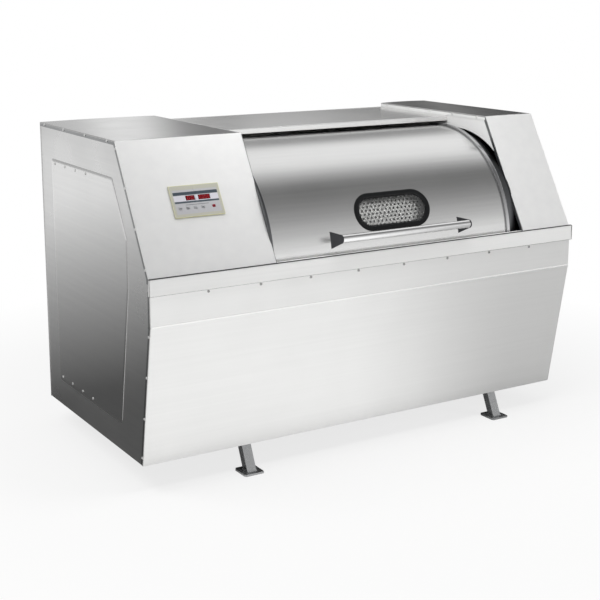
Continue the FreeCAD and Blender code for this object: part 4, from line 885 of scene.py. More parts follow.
@dataclass
class Door:
    """Curved sliding door with its window, handle and rails."""

    radius: float = 0.459
    wall: float = 0.002
    start: float = 3.2
    span: float = 97.0
    hem_depth: float = 0.0075
    hem_arc: float = 0.6
    window_angle: float = 24.4
    window_size: tuple[float, float] = (0.366, 0.157)
    gasket_width: float = 0.024
    gasket_rise: float = 0.006
    gasket_square: tuple[float, float] = (0.55, 0.7)
    groove: tuple[float, float, float] = (0.0022, 0.002, 0.0018)
    bevel: tuple[float, float, float] = (0.005, 0.003, 0.008)
    pane_inset: float = 0.018
    glass_wall: float = 0.005
    handle_angle: float = 12.7
    bracket_foot: float = 0.066
    bracket_wall: float = 0.006
    bracket_head: float = 1.1
    bracket_edge: float = 0.0012
    bracket_seat: float = 0.0002
    rail_radii: tuple[float, float] = (0.446, 0.4645)
    rail_wall: float = 0.003
    rail_width: float = 0.048
    rail_lips: tuple[float, float] = (0.006, 0.014)
    foot_rise: float = 0.034
    foot_least: float = 0.004
    panel_plane: tuple[float, float] = (0.449, 30.1)
    rail_hem: float = 0.0022
    rail_arc: tuple[float, float] = (1.5, 178.5)
    rail_steps: int = 119
    block_steps: tuple[int, int] = (33, 17)
    margin_steps: tuple[int, int, int] = (13, 9, 65)
    slot_steps: int = 9
    path_steps: tuple[int, int] = (33, 26)
    gasket_sides: int = 40
    pane_steps: tuple[int, int] = (33, 21)
    handle_sides: int = 40
    bracket_steps: tuple[int, int] = (17, 13)

    def __post_init__(self) -> None:
        """Reads the places that the frame gives."""
        self.low, self.high = corners("sliding_door")
        self.middle = (corners("window_gasket")[0][0] + corners("window_gasket")[1][0]) / 2

    def slot(self, inset: float) -> tuple[float, float]:
        """Half length of the straight part and end radius of the window, smaller all round by the inset."""
        length, height = self.window_size
        return (length - height) / 2, height / 2 - inset

    def on_door(self, x: Array, rise: Array, proud: Array) -> Array:
        """Place on the door: X from the window's middle, height in its plane, distance above the skin."""
        angle = self.window_angle + np.degrees(np.arcsin(rise / self.radius))
        return round_axis(self.middle + x, self.radius + proud, angle)

    def skin(self) -> None:
        """Door skin: a lattice on the cylinder; its middle block runs from a square edge to the window's slot.

        A block point q meets the slot at c + r (q - c) / |q - c|, where c is the nearest point of the slot's
        middle line and r its end radius.
        """
        straight, end = self.slot(self.gasket_width / 2)
        block = np.array([self.window_size[0], self.window_size[1]]) / 2 + self.gasket_width
        centre = math.radians(self.window_angle) * self.radius
        arc = np.radians([self.start, self.start + self.span]) * self.radius - centre
        x_edge = np.array([self.low[0], self.high[0]]) - self.middle
        inner_x, inner_a = (np.linspace(-half, half, steps) for half, steps in zip(block, self.block_steps))
        beside, below, above = self.margin_steps
        x = np.concatenate([np.linspace(x_edge[0], -block[0], beside)[:-1], inner_x,
                            np.linspace(block[0], x_edge[1], beside)[1:]])
        a = np.concatenate([np.linspace(arc[0], -block[1], below)[:-1], inner_a,
                            np.linspace(block[1], arc[1], above)[1:]])
        flat = np.stack(np.meshgrid(x, a), -1)
        surface = grid(np.concatenate([flat, np.zeros_like(flat[..., :1])], -1))
        mid = surface.points[surface.quads].mean(1)
        surface.quads = surface.quads[(np.abs(mid[:, 0]) > block[0]) | (np.abs(mid[:, 1]) > block[1])]
        walk = (stacked(inner_x, -block[1]), stacked(block[0], inner_a),
                stacked(inner_x[::-1], block[1]), stacked(-block[0], inner_a[::-1]))
        q = np.concatenate([side[:-1] for side in walk])
        c = stacked(np.clip(q[:, 0], -straight, straight), 0.0)
        p = c + end * unit(q - c)
        share = np.linspace(0, 1, self.slot_steps)[:, None, None]
        ring = p[None] + share * (q - p)[None]
        surface = surface + grid(np.concatenate([ring, np.zeros_like(ring[..., :1])], -1), close_columns=True)
        spots, index = np.unique(np.round(surface.points[:, :2], LATTICE_DECIMALS), axis=0, return_inverse=True)
        quads = index.ravel()[surface.quads]
        angle = self.window_angle + np.degrees(spots[:, 1] / self.radius)
        sides = [round_axis(spots[:, 0] + self.middle, self.radius - depth, angle)
                 for depth in (0.0, self.wall)]
        piece("door_skin", shell(quads, *sides), DOOR_STEEL, "door", ["sliding_door"])

    def hems(self) -> None:
        """Hems under both edges of the door: bars of square section along the door between its rails."""
        x = np.array([corners("left_door_rail")[1][0] + self.rail_wall,
                      corners("right_door_rail")[0][0] - self.rail_wall])
        outer, inner = self.radius - self.wall, self.radius - self.wall - self.hem_depth
        bars = []
        for start in (self.start, self.start + self.span - self.hem_arc):
            end = start + self.hem_arc
            section = np.array([(start, inner), (end, inner), (end, outer), (start, outer)])
            bars.append(tube(round_axis(x[:, None], section[None, :, 1], section[None, :, 0])))
        piece("door_hems", joined(bars), DOOR_STEEL, "door")

    def window(self) -> None:
        """Rubber gasket carried round the slot, and the curved glass inside it.

        The gasket's section is a squarish oval with a locking groove; the glass fills the slot by stretching
        each row to the slot's width at that height.
        """
        straight, end = self.slot(self.gasket_width / 2)
        turn = np.linspace(-math.pi / 2, math.pi / 2, self.path_steps[0])
        right = np.stack([straight + end * np.cos(turn), end * np.sin(turn)], -1)
        edge = np.linspace(straight, -straight, self.path_steps[1])[1:-1]
        upper = stacked(edge, end)
        path = np.concatenate([right, upper, -right, -upper])
        out = unit(path - stacked(np.clip(path[:, 0], -straight, straight), 0.0))
        t = circle(self.gasket_sides)
        face = np.sin(t) > 0
        across = self.gasket_width / 2 * oval(np.cos(t), self.gasket_square[0])
        height = (self.gasket_rise + self.wall / 2) * oval(np.sin(t), self.gasket_square[1]) - self.wall / 2
        deep, place, width = self.groove
        groove = deep * np.exp(-((across + place) / width) ** 2) * face
        fall, start, run = self.bevel
        bevel = fall * np.clip((-across - start) / run, 0, 1) * face
        rise = np.maximum(height - groove - bevel, -self.wall)
        rise = np.where(face, rise, np.minimum(height, rise))
        ring = self.on_door(path[:, :1] + out[:, :1] * across, path[:, 1:] + out[:, 1:] * across, rise)
        piece("window_rubber", grid(ring, True, True), RUBBER, "door", ["window_gasket"])
        straight, end = self.slot(self.pane_inset)
        rows = np.sin(np.linspace(-math.pi / 2, math.pi / 2, self.pane_steps[1]))
        u, v = np.meshgrid(np.linspace(-1, 1, self.pane_steps[0]), rows, indexing="ij")
        x = u * (straight + end * np.sqrt(np.clip(1 - v ** 2, 1e-4, 1)))
        pane = self.on_door(x, end * v, np.full_like(x, self.glass_wall / 2 - self.wall))
        piece("window_pane", sheet(pane, self.glass_wall), GLASS, "door", ["window_glass"])

    def handle(self) -> None:
        """Handle bar, from inside its left bracket to past its right one, and the tapered brackets."""
        low, high = corners("handle_bar")
        bracket_low, bracket_high = corners("handle_brackets")
        thick = self.bracket_wall
        radius = (high[2] - low[2]) / 2
        start = bracket_low[0] + thick / 2
        length = high[0] - start
        turn = np.linspace(0, math.pi / 2, 6)
        nose = np.stack([radius / 3 * (1 - np.sin(turn)), radius - radius / 3 * (1 - np.cos(turn))], -1)[::-1]
        profile = np.vstack([nose, (nose * [-1, 1] + [length, 0])[::-1]])
        centre = (low + high) / 2
        bar = lathe(profile, (start, centre[1], centre[2]), RIGHT, self.handle_sides)
        piece("handle_tube", bar, POLISHED_STEEL, "door", ["handle_bar"])
        _, axis_y, axis_z = joint_place("door_slide")
        lean = math.radians(self.handle_angle)
        out = np.array([0, -math.cos(lean), math.sin(lean)])
        up = np.array([0, math.sin(lean), math.cos(lean)])
        reach = (centre - [centre[0], axis_y, axis_z]) @ out
        nose_radius = self.bracket_head * radius
        swing = np.linspace(-math.pi / 2, math.pi / 2, self.bracket_steps[0])
        head = np.stack([reach + nose_radius * np.cos(swing), nose_radius * np.sin(swing)], -1)
        foot = np.linspace(self.bracket_foot / 2, -self.bracket_foot / 2, self.bracket_steps[1])
        base = np.stack([np.sqrt((self.radius + self.bracket_seat) ** 2 - foot ** 2), foot], -1)
        outline = np.vstack([head, base])
        edge = soft_edge(thick / 2, self.bracket_edge)
        edge = np.vstack([(edge * [1, -1] + [0, thick / 2])[:0:-1], edge[1:] + [0, thick / 2]])
        brackets = [plate(outline, edge, (x, axis_y, axis_z), out, up)
                    for x in (bracket_low[0] + thick, bracket_high[0])]
        pair = piece("handle_bracket_pair", joined(brackets), BRACKET_ZINC, "door", ["handle_brackets"])
        pair.visible_glossy = False

    def rails(self) -> None:
        """Door rails: a section with a narrow outer wall and a round hem, carried round the axis, and a foot.

        The upright leg of the right rail's foot falls with the cosine of the angle and stays under the plane
        of the sloped panel, at d / cos(a - n), where d is the plane's distance from the axis and n its
        normal's angle.
        """
        angle = np.linspace(*self.rail_arc, self.rail_steps)
        turn = circle(12)
        inner, outer = self.rail_radii
        for name, side, reach in zip(("left", "right"), (1, -1), self.rail_lips):
            low, high = corners(f"{name}_door_rail")
            leg = high[0] if side > 0 else low[0]
            web = leg - side * self.rail_width
            lip = web + side * reach
            section = rounded([(leg, inner), (web, inner), (web, outer), (lip, outer)], self.rail_wall)
            points = round_axis(section[:, :1], section[:, 1:], angle[None])
            hem = round_axis(lip - side * self.rail_hem + self.rail_hem * np.cos(turn),
                             outer - self.rail_hem + self.rail_hem * np.sin(turn), angle[:, None])
            channel = sheet(points, -side * self.rail_wall) + tube(hem)
            # The left channel and the right rail's foot take the dark strip: painted shade in the recesses by the
            # end walls.
            finish = STRIP_STEEL if side > 0 else RAIL_STEEL
            piece(f"{name}_rail_channel", channel, finish, "cabinet", [f"{name}_door_rail"])
        turn = np.radians(angle)
        distance, normal = self.panel_plane
        plane = distance / np.cos(turn - math.radians(normal)) - self.rail_wall - inner
        rise = np.maximum(np.minimum(self.foot_rise * np.cos(turn), plane), self.foot_least)
        corner = np.full_like(rise, inner)
        x = np.array([web, high[0], high[0]])
        foot = round_axis(x[:, None], np.stack([corner, corner, inner + rise]), angle[None])
        piece("right_rail_foot", sheet(foot, self.rail_wall), STRIP_STEEL, "cabinet")

    def build(self) -> None:
        """Builds the door and its rails."""
        self.skin()
        self.hems()
        self.window()
        self.handle()
        self.rails()
        dress("door_glides", NYLON)
        dress("door_stops", RUBBER)


@dataclass
class Drum:
    """Perforated drum with its door, ends, lifters and shafts."""

    radius: float = 0.425
    wall: float = 0.003
    opening: tuple[float, float] = (37.5, 92.5)
    opening_length: float = 0.56
    pitch: tuple[float, float] = (0.0195, 0.0155)
    hole: float = 0.0049
    segments: int = 3
    lap: float = 0.012
    clearance: float = 0.0003
    knuckle: float = 0.009
    leaf_gap: float = 0.7
    knuckle_share: float = 6.0
    knuckle_form: tuple[tuple[float, float], ...] = ((0, 0.8), (0.04, 1.0), (0.96, 1.0), (1, 0.8))
    strap_reach: tuple[float, float] = (0.5, 2.0)

    def perforated(self, x: tuple[float, float], arc: tuple[float, float], radius: float) -> Surface:
        """Curved sheet with staggered round holes.

        Each cell is eight lattice points, shared with its neighbours, round the eight points of its hole; odd
        rows are half a cell further along, and plain half cells fill their ends.

        Args:
            x: low and high end along the drum.
            arc: low and high angle in degrees.
            radius: outside of the sheet.

        Returns:
            The closed sheet.
        """
        columns = round((x[1] - x[0]) / self.pitch[0] - 0.5)
        rows = round(math.radians(arc[1] - arc[0]) * radius / self.pitch[1])
        cell, step = (x[1] - x[0]) / (columns + 0.5), (arc[1] - arc[0]) / rows
        shift = np.arange(rows) % 2
        row_angle = arc[0] + step * np.arange(rows + 1)
        mid_angle = row_angle[:-1] + step / 2
        edge_x = x[0] + cell / 2 * np.arange(2 * columns + 2)
        side_x = x[0] + cell * (np.arange(columns + 1) + shift[:, None] / 2)
        hole_x = side_x[:, :-1] + cell / 2
        turn = np.radians(180 + 45 * np.arange(8))
        flat = [
            stacked(edge_x, row_angle[:, None]),
            stacked(side_x, mid_angle[:, None]),
            np.stack([np.where(shift == 1, x[0], x[1]), mid_angle], -1),
            stacked(hole_x[..., None] + self.hole * np.cos(turn),
                    mid_angle[:, None, None] + np.degrees(self.hole * np.sin(turn) / radius)),
        ]
        starts = np.cumsum([0] + [part.size // 2 for part in flat])
        flat = np.concatenate([part.reshape(-1, 2) for part in flat])
        edge = np.arange(starts[1]).reshape(rows + 1, -1)
        side = starts[1] + np.arange(starts[2] - starts[1]).reshape(rows, -1)
        extra = starts[2] + np.arange(rows)
        hole = starts[3] + np.arange(starts[4] - starts[3]).reshape(rows, columns, 8)
        i, j = np.meshgrid(np.arange(rows), np.arange(columns), indexing="ij")
        k = shift[i] + 2 * j
        around = np.stack([side[i, j], edge[i, k], edge[i, k + 1], edge[i, k + 2], side[i, j + 1],
                           edge[i + 1, k + 2], edge[i + 1, k + 1], edge[i + 1, k]], -1)
        cells = np.stack([around, np.roll(around, -1, -1), np.roll(hole, -1, -1), hole], -1).reshape(-1, 4)
        low, high = np.arange(rows), np.arange(rows) + 1
        near = np.where(shift == 1, 0, 2 * columns)
        first = np.where(shift == 1, extra, side[:, -1])
        second = np.where(shift == 1, side[:, 0], extra)
        halves = np.concatenate([
            np.stack([edge[low, near], edge[low, near + 1], second, first], -1),
            np.stack([first, second, edge[high, near + 1], edge[high, near]], -1),
        ])
        sides = [round_axis(flat[:, 0], radius - depth, flat[:, 1]) for depth in (0.0, self.wall)]
        return shell(np.concatenate([cells, halves]), *sides)

    def build(self) -> None:
        """Builds the perforated sheets and the drum door, and dresses the rest."""
        low, high = corners("drum_shell")
        ends = (low[0], high[0])
        middle = (low[0] + high[0]) / 2
        spread = (360 - self.opening[1] + self.opening[0]) / self.segments
        for k in range(self.segments):
            arc = (self.opening[1] + k * spread, self.opening[1] + (k + 1) * spread)
            bent = self.perforated(ends, arc, self.radius)
            piece(f"drum_sheet_{k + 1}", bent, DRUM_STEEL, "drum", ["drum_shell"])
        hatch = (middle - self.opening_length / 2, middle + self.opening_length / 2)
        sides = [self.perforated(x, self.opening, self.radius)
                 for x in ((ends[0], hatch[0]), (hatch[1], ends[1]))]
        piece("drum_opening_sheets", joined(sides), DRUM_STEEL, "drum", ["drum_door_surround"])
        self.drum_door(middle)
        for node in ("drum_left_end", "drum_right_end", "drum_lifters"):
            dress(node, DRUM_STEEL)
        for node in ("drive_shaft", "idle_shaft", "drum_hinge_pin"):
            dress(node, SHAFT_STEEL)

    def drum_door(self, middle: float) -> None:
        """Drum door: a perforated leaf inside the opening with three hinge knuckles on straps."""
        leaf_radius = self.radius - self.wall - self.clearance
        half = self.opening_length / 2 + self.lap
        lower = self.opening[0] + self.leaf_gap
        arc = (lower, self.opening[1] + math.degrees(self.lap / self.radius))
        parts = [self.perforated((middle - half, middle + half), arc, leaf_radius)]
        hinge = joint_place("drum_hatch_swing")
        width = self.opening_length / self.knuckle_share
        profile = np.array(self.knuckle_form) * [width, self.knuckle]
        for place in (-1, 0, 1):
            x = middle + place * self.opening_length / 3 - width / 2
            parts.append(lathe(profile, (x, hinge[1], hinge[2]), RIGHT, 20))
            angle = np.linspace(self.opening[0] - self.strap_reach[0], lower + self.strap_reach[1], 7)
            strap = round_axis(np.array([x, x + width])[:, None], leaf_radius - self.wall, angle[None])
            parts.append(sheet(strap, self.wall))
        piece("drum_door_leaf", joined(parts), DRUM_STEEL, "drum_hatch", ["drum_door"])


@dataclass
class Controls:
    """Control fascia on the left sloped panel, with its displays and keys."""

    wall: float = 0.006
    displays: tuple[tuple[float, float], ...] = ((0.29, 0.47), (0.54, 0.78))
    display_rows: tuple[float, float] = (0.52, 0.67)
    digit_counts: tuple[int, ...] = (2, 4)
    key_shares: tuple[float, ...] = (0.14, 0.29, 0.44, 0.59, 0.81)
    key_row: float = 0.28
    key_size: tuple[float, float] = (0.012, 0.009)
    key_gap: float = 0.0005
    key_proud: float = 0.002
    key_corner: float = 0.0018
    key_edge: tuple[float, float] = (0.0004, 0.0009)
    key_crown: tuple[tuple[float, float], ...] = ((0.0022, -0.0001), (0.0034, 0.0))
    film_edge: float = 0.0006
    pane_corner: float = 0.001
    pane_rise: float = 0.0004
    digit_margin: float = 0.4
    digit_size: tuple[float, float] = (0.26, 0.3)
    segment_half: float = 0.0006
    segment_gap: float = 0.0005
    segment_rise: float = 0.0002

    def __post_init__(self) -> None:
        """Works out the slope's directions from the panel, and the fascia's size from its box."""
        panel, covers = corners("left_front_panel"), corners("left_top_cover")
        foot = np.array([0, panel[0][1], corners("front_sill")[1][2]])
        head = np.array([0, covers[0][1], panel[1][2]])
        self.up = unit(head - foot)
        self.out = np.array([0, -self.up[2], self.up[1]])
        low, high = corners("control_fascia")
        self.width = high[0] - low[0]
        self.height = (high[2] - low[2] - self.wall * self.out[2]) / self.up[2]
        base = np.array([low[0], 0, low[2]])
        along = (base[2] - foot[2]) / self.up[2]
        self.origin = np.array([low[0], foot[1] + along * self.up[1], base[2]])

    def fascia(self) -> None:
        """Fascia plate with pockets for the displays and holes for the keys, printed on its face."""
        half_x, half_y = np.array(self.key_size) / 2 + self.key_gap
        row = self.key_row * self.height
        holes = [(share * self.width - half_x, share * self.width + half_x, row - half_y, row + half_y)
                 for share in self.key_shares]
        low_row, high_row = (share * self.height for share in self.display_rows)
        holes += [(low * self.width, high * self.width, low_row, high_row) for low, high in self.displays]
        x = np.unique([0, self.width, *[h[k] for h in holes for k in (0, 1)]])
        y = np.unique([0, self.height, *[h[k] for h in holes for k in (2, 3)]])
        face = self.origin + self.out * self.wall
        film = (face, np.array(RIGHT) * self.width, self.up * self.height)
        panel = windowed(x, y, holes, self.wall, face, RIGHT, self.up)
        made = piece("fascia_plate", panel, FASCIA, "cabinet", ["control_fascia"], film=film)
        soften = made.modifiers.new("soft edges", "BEVEL")
        soften.width, soften.segments = self.film_edge, 2

    def screens(self) -> None:
        """Display windows with a soft edge, and the lit segments of zeros in them.

        A segment is a flat six-sided bar; a zero has the upper and lower bar and two uprights on each side.
        """
        panes, bars = [], []
        top, gap, thick = self.wall + self.pane_rise, self.segment_gap, self.segment_half
        flat = np.array([(0, 0.0), (0, self.segment_rise)])
        height = (self.display_rows[1] - self.display_rows[0]) * self.height
        for (low, high), count in zip(self.displays, self.digit_counts):
            width = (high - low) * self.width
            corner = self.origin + [low * self.width, 0, 0] + self.up * self.display_rows[0] * self.height
            outline = rectangle((0, 0), (width, height), self.pane_corner, 4)
            panes.append(plate(outline, soft_edge(top / 2, self.pane_rise), corner + self.out * top / 2,
                               RIGHT, self.up))
            pitch = width / (count + self.digit_margin)
            half, tall = self.digit_size[0] * pitch, self.digit_size[1] * height
            spans = [((-half, tall), (half, tall)), ((-half, -tall), (half, -tall))]
            spans += [((x, y), (x, y + tall)) for x in (-half, half) for y in (-tall, 0)]
            for k in range(count):
                centre = np.array([pitch * (k + (1 + self.digit_margin) / 2), height / 2])
                for a, b in np.array(spans) + centre:
                    step = unit(b - a)
                    side = np.array([-step[1], step[0]]) * thick
                    a, b = a + step * gap, b - step * gap
                    near, far = a + step * thick, b - step * thick
                    bar = np.array([a, near - side, far - side, b, far + side, near + side])
                    bars.append(plate(bar, flat, corner + self.out * top, RIGHT, self.up))
        piece("display_panes", joined(panes), DISPLAY, "cabinet", ["display_windows"])
        piece("display_digits", joined(bars), DIGITS, "cabinet")

    def keys(self) -> None:
        """Keys with rounded corners and a crowned top."""
        names = ("key_one", "key_two", "key_three", "key_four", "key_red")
        half = np.array(self.key_size) / 2
        outline = rectangle(-half, half, self.key_corner, 5)
        tall = self.wall + self.key_proud - self.wall / 3
        drop, edge = self.key_edge
        crown = np.vstack([soft_edge(tall - drop, edge), np.array(self.key_crown) + [0, tall]])
        for name, share in zip(names, self.key_shares):
            place = self.origin + [share * self.width, 0, 0] + self.up * self.key_row * self.height
            cap = plate(outline, crown, place + self.out * self.wall / 3, RIGHT, self.up)
            piece(f"{name}_top", cap, KEY_RED if name == "key_red" else KEY, f"{name}_cap", [name])

    def build(self) -> None:
        """Builds the controls."""
        self.fascia()
        self.screens()
        self.keys()


@dataclass
class Legs:
    """Four leaning legs of square tube on foot plates."""

    tube: float = 0.04
    lean: float = 0.045
    corner: float = 0.0025
    foot: tuple[float, float] = (0.084, 0.09)
    foot_plate: float = 0.008
    toe: float = 0.023
    anchor: tuple[float, float] = (0.031, 0.006)
    soft: float = 0.0005
    foot_sides: int = 48
    bead: float = 0.003
    bead_wave: tuple[float, float] = (0.15, 2.4)

    def leg(self, x: float, toe_y: float, side: int) -> Surface:
        """One leg: a square section carried up a leaning line, a holed foot plate and a weld bead.

        Args:
            x: middle of the leg.
            toe_y: Y of the outer edge of the foot plate.
            side: -1 in front, 1 at the back.

        Returns:
            The leg.
        """
        top = corners("legs")[1][2]
        outer = toe_y - side * self.toe
        half = self.tube / 2
        square = rectangle((-half, -half), (half, half), self.corner, 5)
        z = np.array([self.foot_plate, top])
        centre_y = np.array([outer - side * half, outer - side * (half + self.lean)])
        ring = stacked(x + square[:, 0], centre_y[:, None] + square[:, 1], z[:, None])
        middle_y = toe_y - side * self.foot[1] / 2
        turn = circle(self.foot_sides) + math.pi / self.foot_sides
        reach = np.stack([np.cos(turn), np.sin(turn)], -1)
        hole = np.array([self.anchor[0], 0.0])
        limits = (np.sign(reach) * np.array(self.foot) / 2 - hole) / reach
        rim = hole + reach * limits.min(1)[:, None]
        bore = hole + reach * self.anchor[1]
        rows = [(bore, 0.0), (rim, 0.0), (rim, self.foot_plate - self.soft),
                (rim - reach * self.soft, self.foot_plate), (bore, self.foot_plate)]
        disc = np.stack([stacked(x + flat[:, 0], middle_y + flat[:, 1], height) for flat, height in rows])
        swing = circle(8)
        path = rectangle((-half, -half), (half, half), self.corner, 12)
        share, beat = self.bead_wave
        swell = self.bead * (1 + share * np.sin(np.arange(len(path)) * beat))[:, None]
        away = unit(path)
        weld = stacked(x + path[:, :1] + away[:, :1] * swell * np.cos(swing),
                       centre_y[0] + path[:, 1:] + away[:, 1:] * swell * np.cos(swing),
                       self.foot_plate + swell * np.sin(swing))
        return joined([tube(ring), grid(disc, True, True), grid(weld, True, True)])

    def build(self) -> None:
        """Builds the four legs."""
        low, high = corners("legs")
        half = self.foot[0] / 2
        legs = [self.leg(x, toe, side) for x in (low[0] + half, high[0] - half)
                for toe, side in ((low[1], -1), (high[1], 1))]
        piece("leg_set", joined(legs), LEG_PAINT, "cabinet", ["legs"])


@dataclass
class Fasteners:
    """Pan head screws at the places of the frame's screws, and a row round the rear panel."""

    radius: float = 0.0055
    rise: float = 0.0025
    sides: int = 16
    dome: tuple[tuple[float, float], ...] = (
        (1.0, 0.0), (1.0, 0.45), (0.9, 0.75), (0.68, 0.93), (0.42, 1.0), (0.16, 0.62))
    recess: tuple[float, float, int] = (0.2, 0.4, 8)
    edge_near: float = 0.001
    rear_margin: float = 0.02
    rear_counts: tuple[int, int] = (8, 6)

    def places(self) -> tuple[Array, Array]:
        """Middle and outward direction of each screw, from the separate solids of the screws' node.

        Points at one place share a label, each triangle spreads the lowest label of its corners, and the
        labels that are left are the solids.
        """
        mesh = frame["nodes"]["panel_screws"].data
        points = np.empty(len(mesh.vertices) * 3)
        mesh.vertices.foreach_get("co", points)
        points = points.reshape(-1, 3)
        ids = np.unique(np.round(points, FRAME_DECIMALS), axis=0, return_inverse=True)[1].ravel()
        loops = np.empty(len(mesh.loops), np.int32)
        mesh.loops.foreach_get("vertex_index", loops)
        triangles = ids[loops].reshape(-1, 3)
        labels = np.arange(ids.max() + 1)
        settled = False
        while not settled:
            lowest = np.repeat(labels[triangles].min(1), 3)
            spread = labels.copy()
            np.minimum.at(spread, triangles.ravel(), lowest)
            settled = np.array_equal(spread, labels)
            labels = spread
        solid = labels[ids]
        names = np.unique(solid)
        low = np.array([points[solid == name].min(0) for name in names])
        high = np.array([points[solid == name].max(0) for name in names])
        middle = (low + high) / 2
        along_y = (high - low)[:, 1] < (high - low)[:, 0]
        half = corners("apron")[1][0]
        bay = joint_place("door_slide")[0]
        outside = np.abs(middle[:, 0]) > half - self.edge_near
        across = np.where(outside, np.sign(middle[:, 0]), np.sign(bay - middle[:, 0]))
        axis = np.where(along_y[:, None], [[0.0, -1.0, 0.0]], across[:, None] * [[1.0, 0.0, 0.0]])
        return middle - axis * self.rise / 2, axis

    def heads(self, foot: Array, axis: Array) -> Surface:
        """Heads on their feet: a domed ring profile with a cross recess, spun round each axis at once.

        The recess sinks the inner ring by a high power of the cosine of twice the angle.
        """
        first = np.where(np.abs(axis[:, 2:]) > 0.5, [[1.0, 0.0, 0.0]], [[0.0, 0.0, 1.0]])
        second = np.cross(axis, first)
        share, height = np.array(self.dome).T
        angle = circle(self.sides)
        reach, depth, power = self.recess
        dip = (share[:, None] < reach) * depth * np.cos(2 * angle)[None] ** power
        lift = self.rise * (height[:, None] - dip)
        spokes = np.cos(angle)[:, None] * first[:, None] + np.sin(angle)[:, None] * second[:, None]
        points = (foot[:, None, None] + self.radius * share[None, :, None, None] * spokes[:, None]
                  + lift[None, ..., None] * axis[:, None, None])
        return joined([tube(head) for head in points])

    def build(self) -> None:
        """Builds the panel screws and the rear screws."""
        foot, axis = self.places()
        front = np.abs(axis[:, 1]) > 0.5
        piece("screw_heads", self.heads(foot[front], axis[front]), SCREW, "cabinet", ["panel_screws"])
        # The flange screws take the paler copy: painted highlight.
        piece("flange_screw_heads", self.heads(foot[~front], axis[~front]), BRIGHT_SCREW, "cabinet")
        low, high = corners("rear_panel")
        margin, (along, upright) = self.rear_margin, self.rear_counts
        x = np.linspace(low[0] + margin, high[0] - margin, along)
        z = np.linspace(low[2] + margin, high[2] - margin, upright)
        rows = np.concatenate([stacked(x, low[2] + margin), stacked(low[0] + margin, z[1:]),
                               stacked(high[0] - margin, z[1:])])
        foot = stacked(rows[:, 0], high[1], rows[:, 1])
        heads = self.heads(foot, np.tile(np.array([BACK], float), (len(foot), 1)))
        piece("rear_screw_heads", heads, SCREW, "cabinet")


@dataclass
class Works:
    """Inner works that stay as the frame has them, with their finishes."""

    finishes: tuple[tuple[Finish, tuple[str, ...]], ...] = (
        (FRAME_PAINT, ("frame_long_rails", "frame_cross_rails", "frame_posts", "drive_base")),
        (WALL_STEEL, ("left_end_wall", "right_end_wall")),
        (MILL_STEEL, ("tub_shell", "door_gutter", "water_inlet_pipe", "drain_pipe")),
        (BEARING_IRON, ("left_bearing", "right_bearing")),
        (GEAR_IRON, ("gearbox_housing",)),
        (SHAFT_STEEL, ("gearbox_standoffs", "drain_valve")),
        (PULLEY_IRON, ("gearbox_pulley", "motor_pulley")),
        (MOTOR_PAINT, ("motor_body",)),
        (BELT_RUBBER, ("drive_belts",)),
        (RUBBER, ("shaft_seals",)),
    )

    def build(self) -> None:
        """Dresses the nodes."""
        for finish, nodes in self.finishes:
            for node in nodes:
                dress(node, finish)


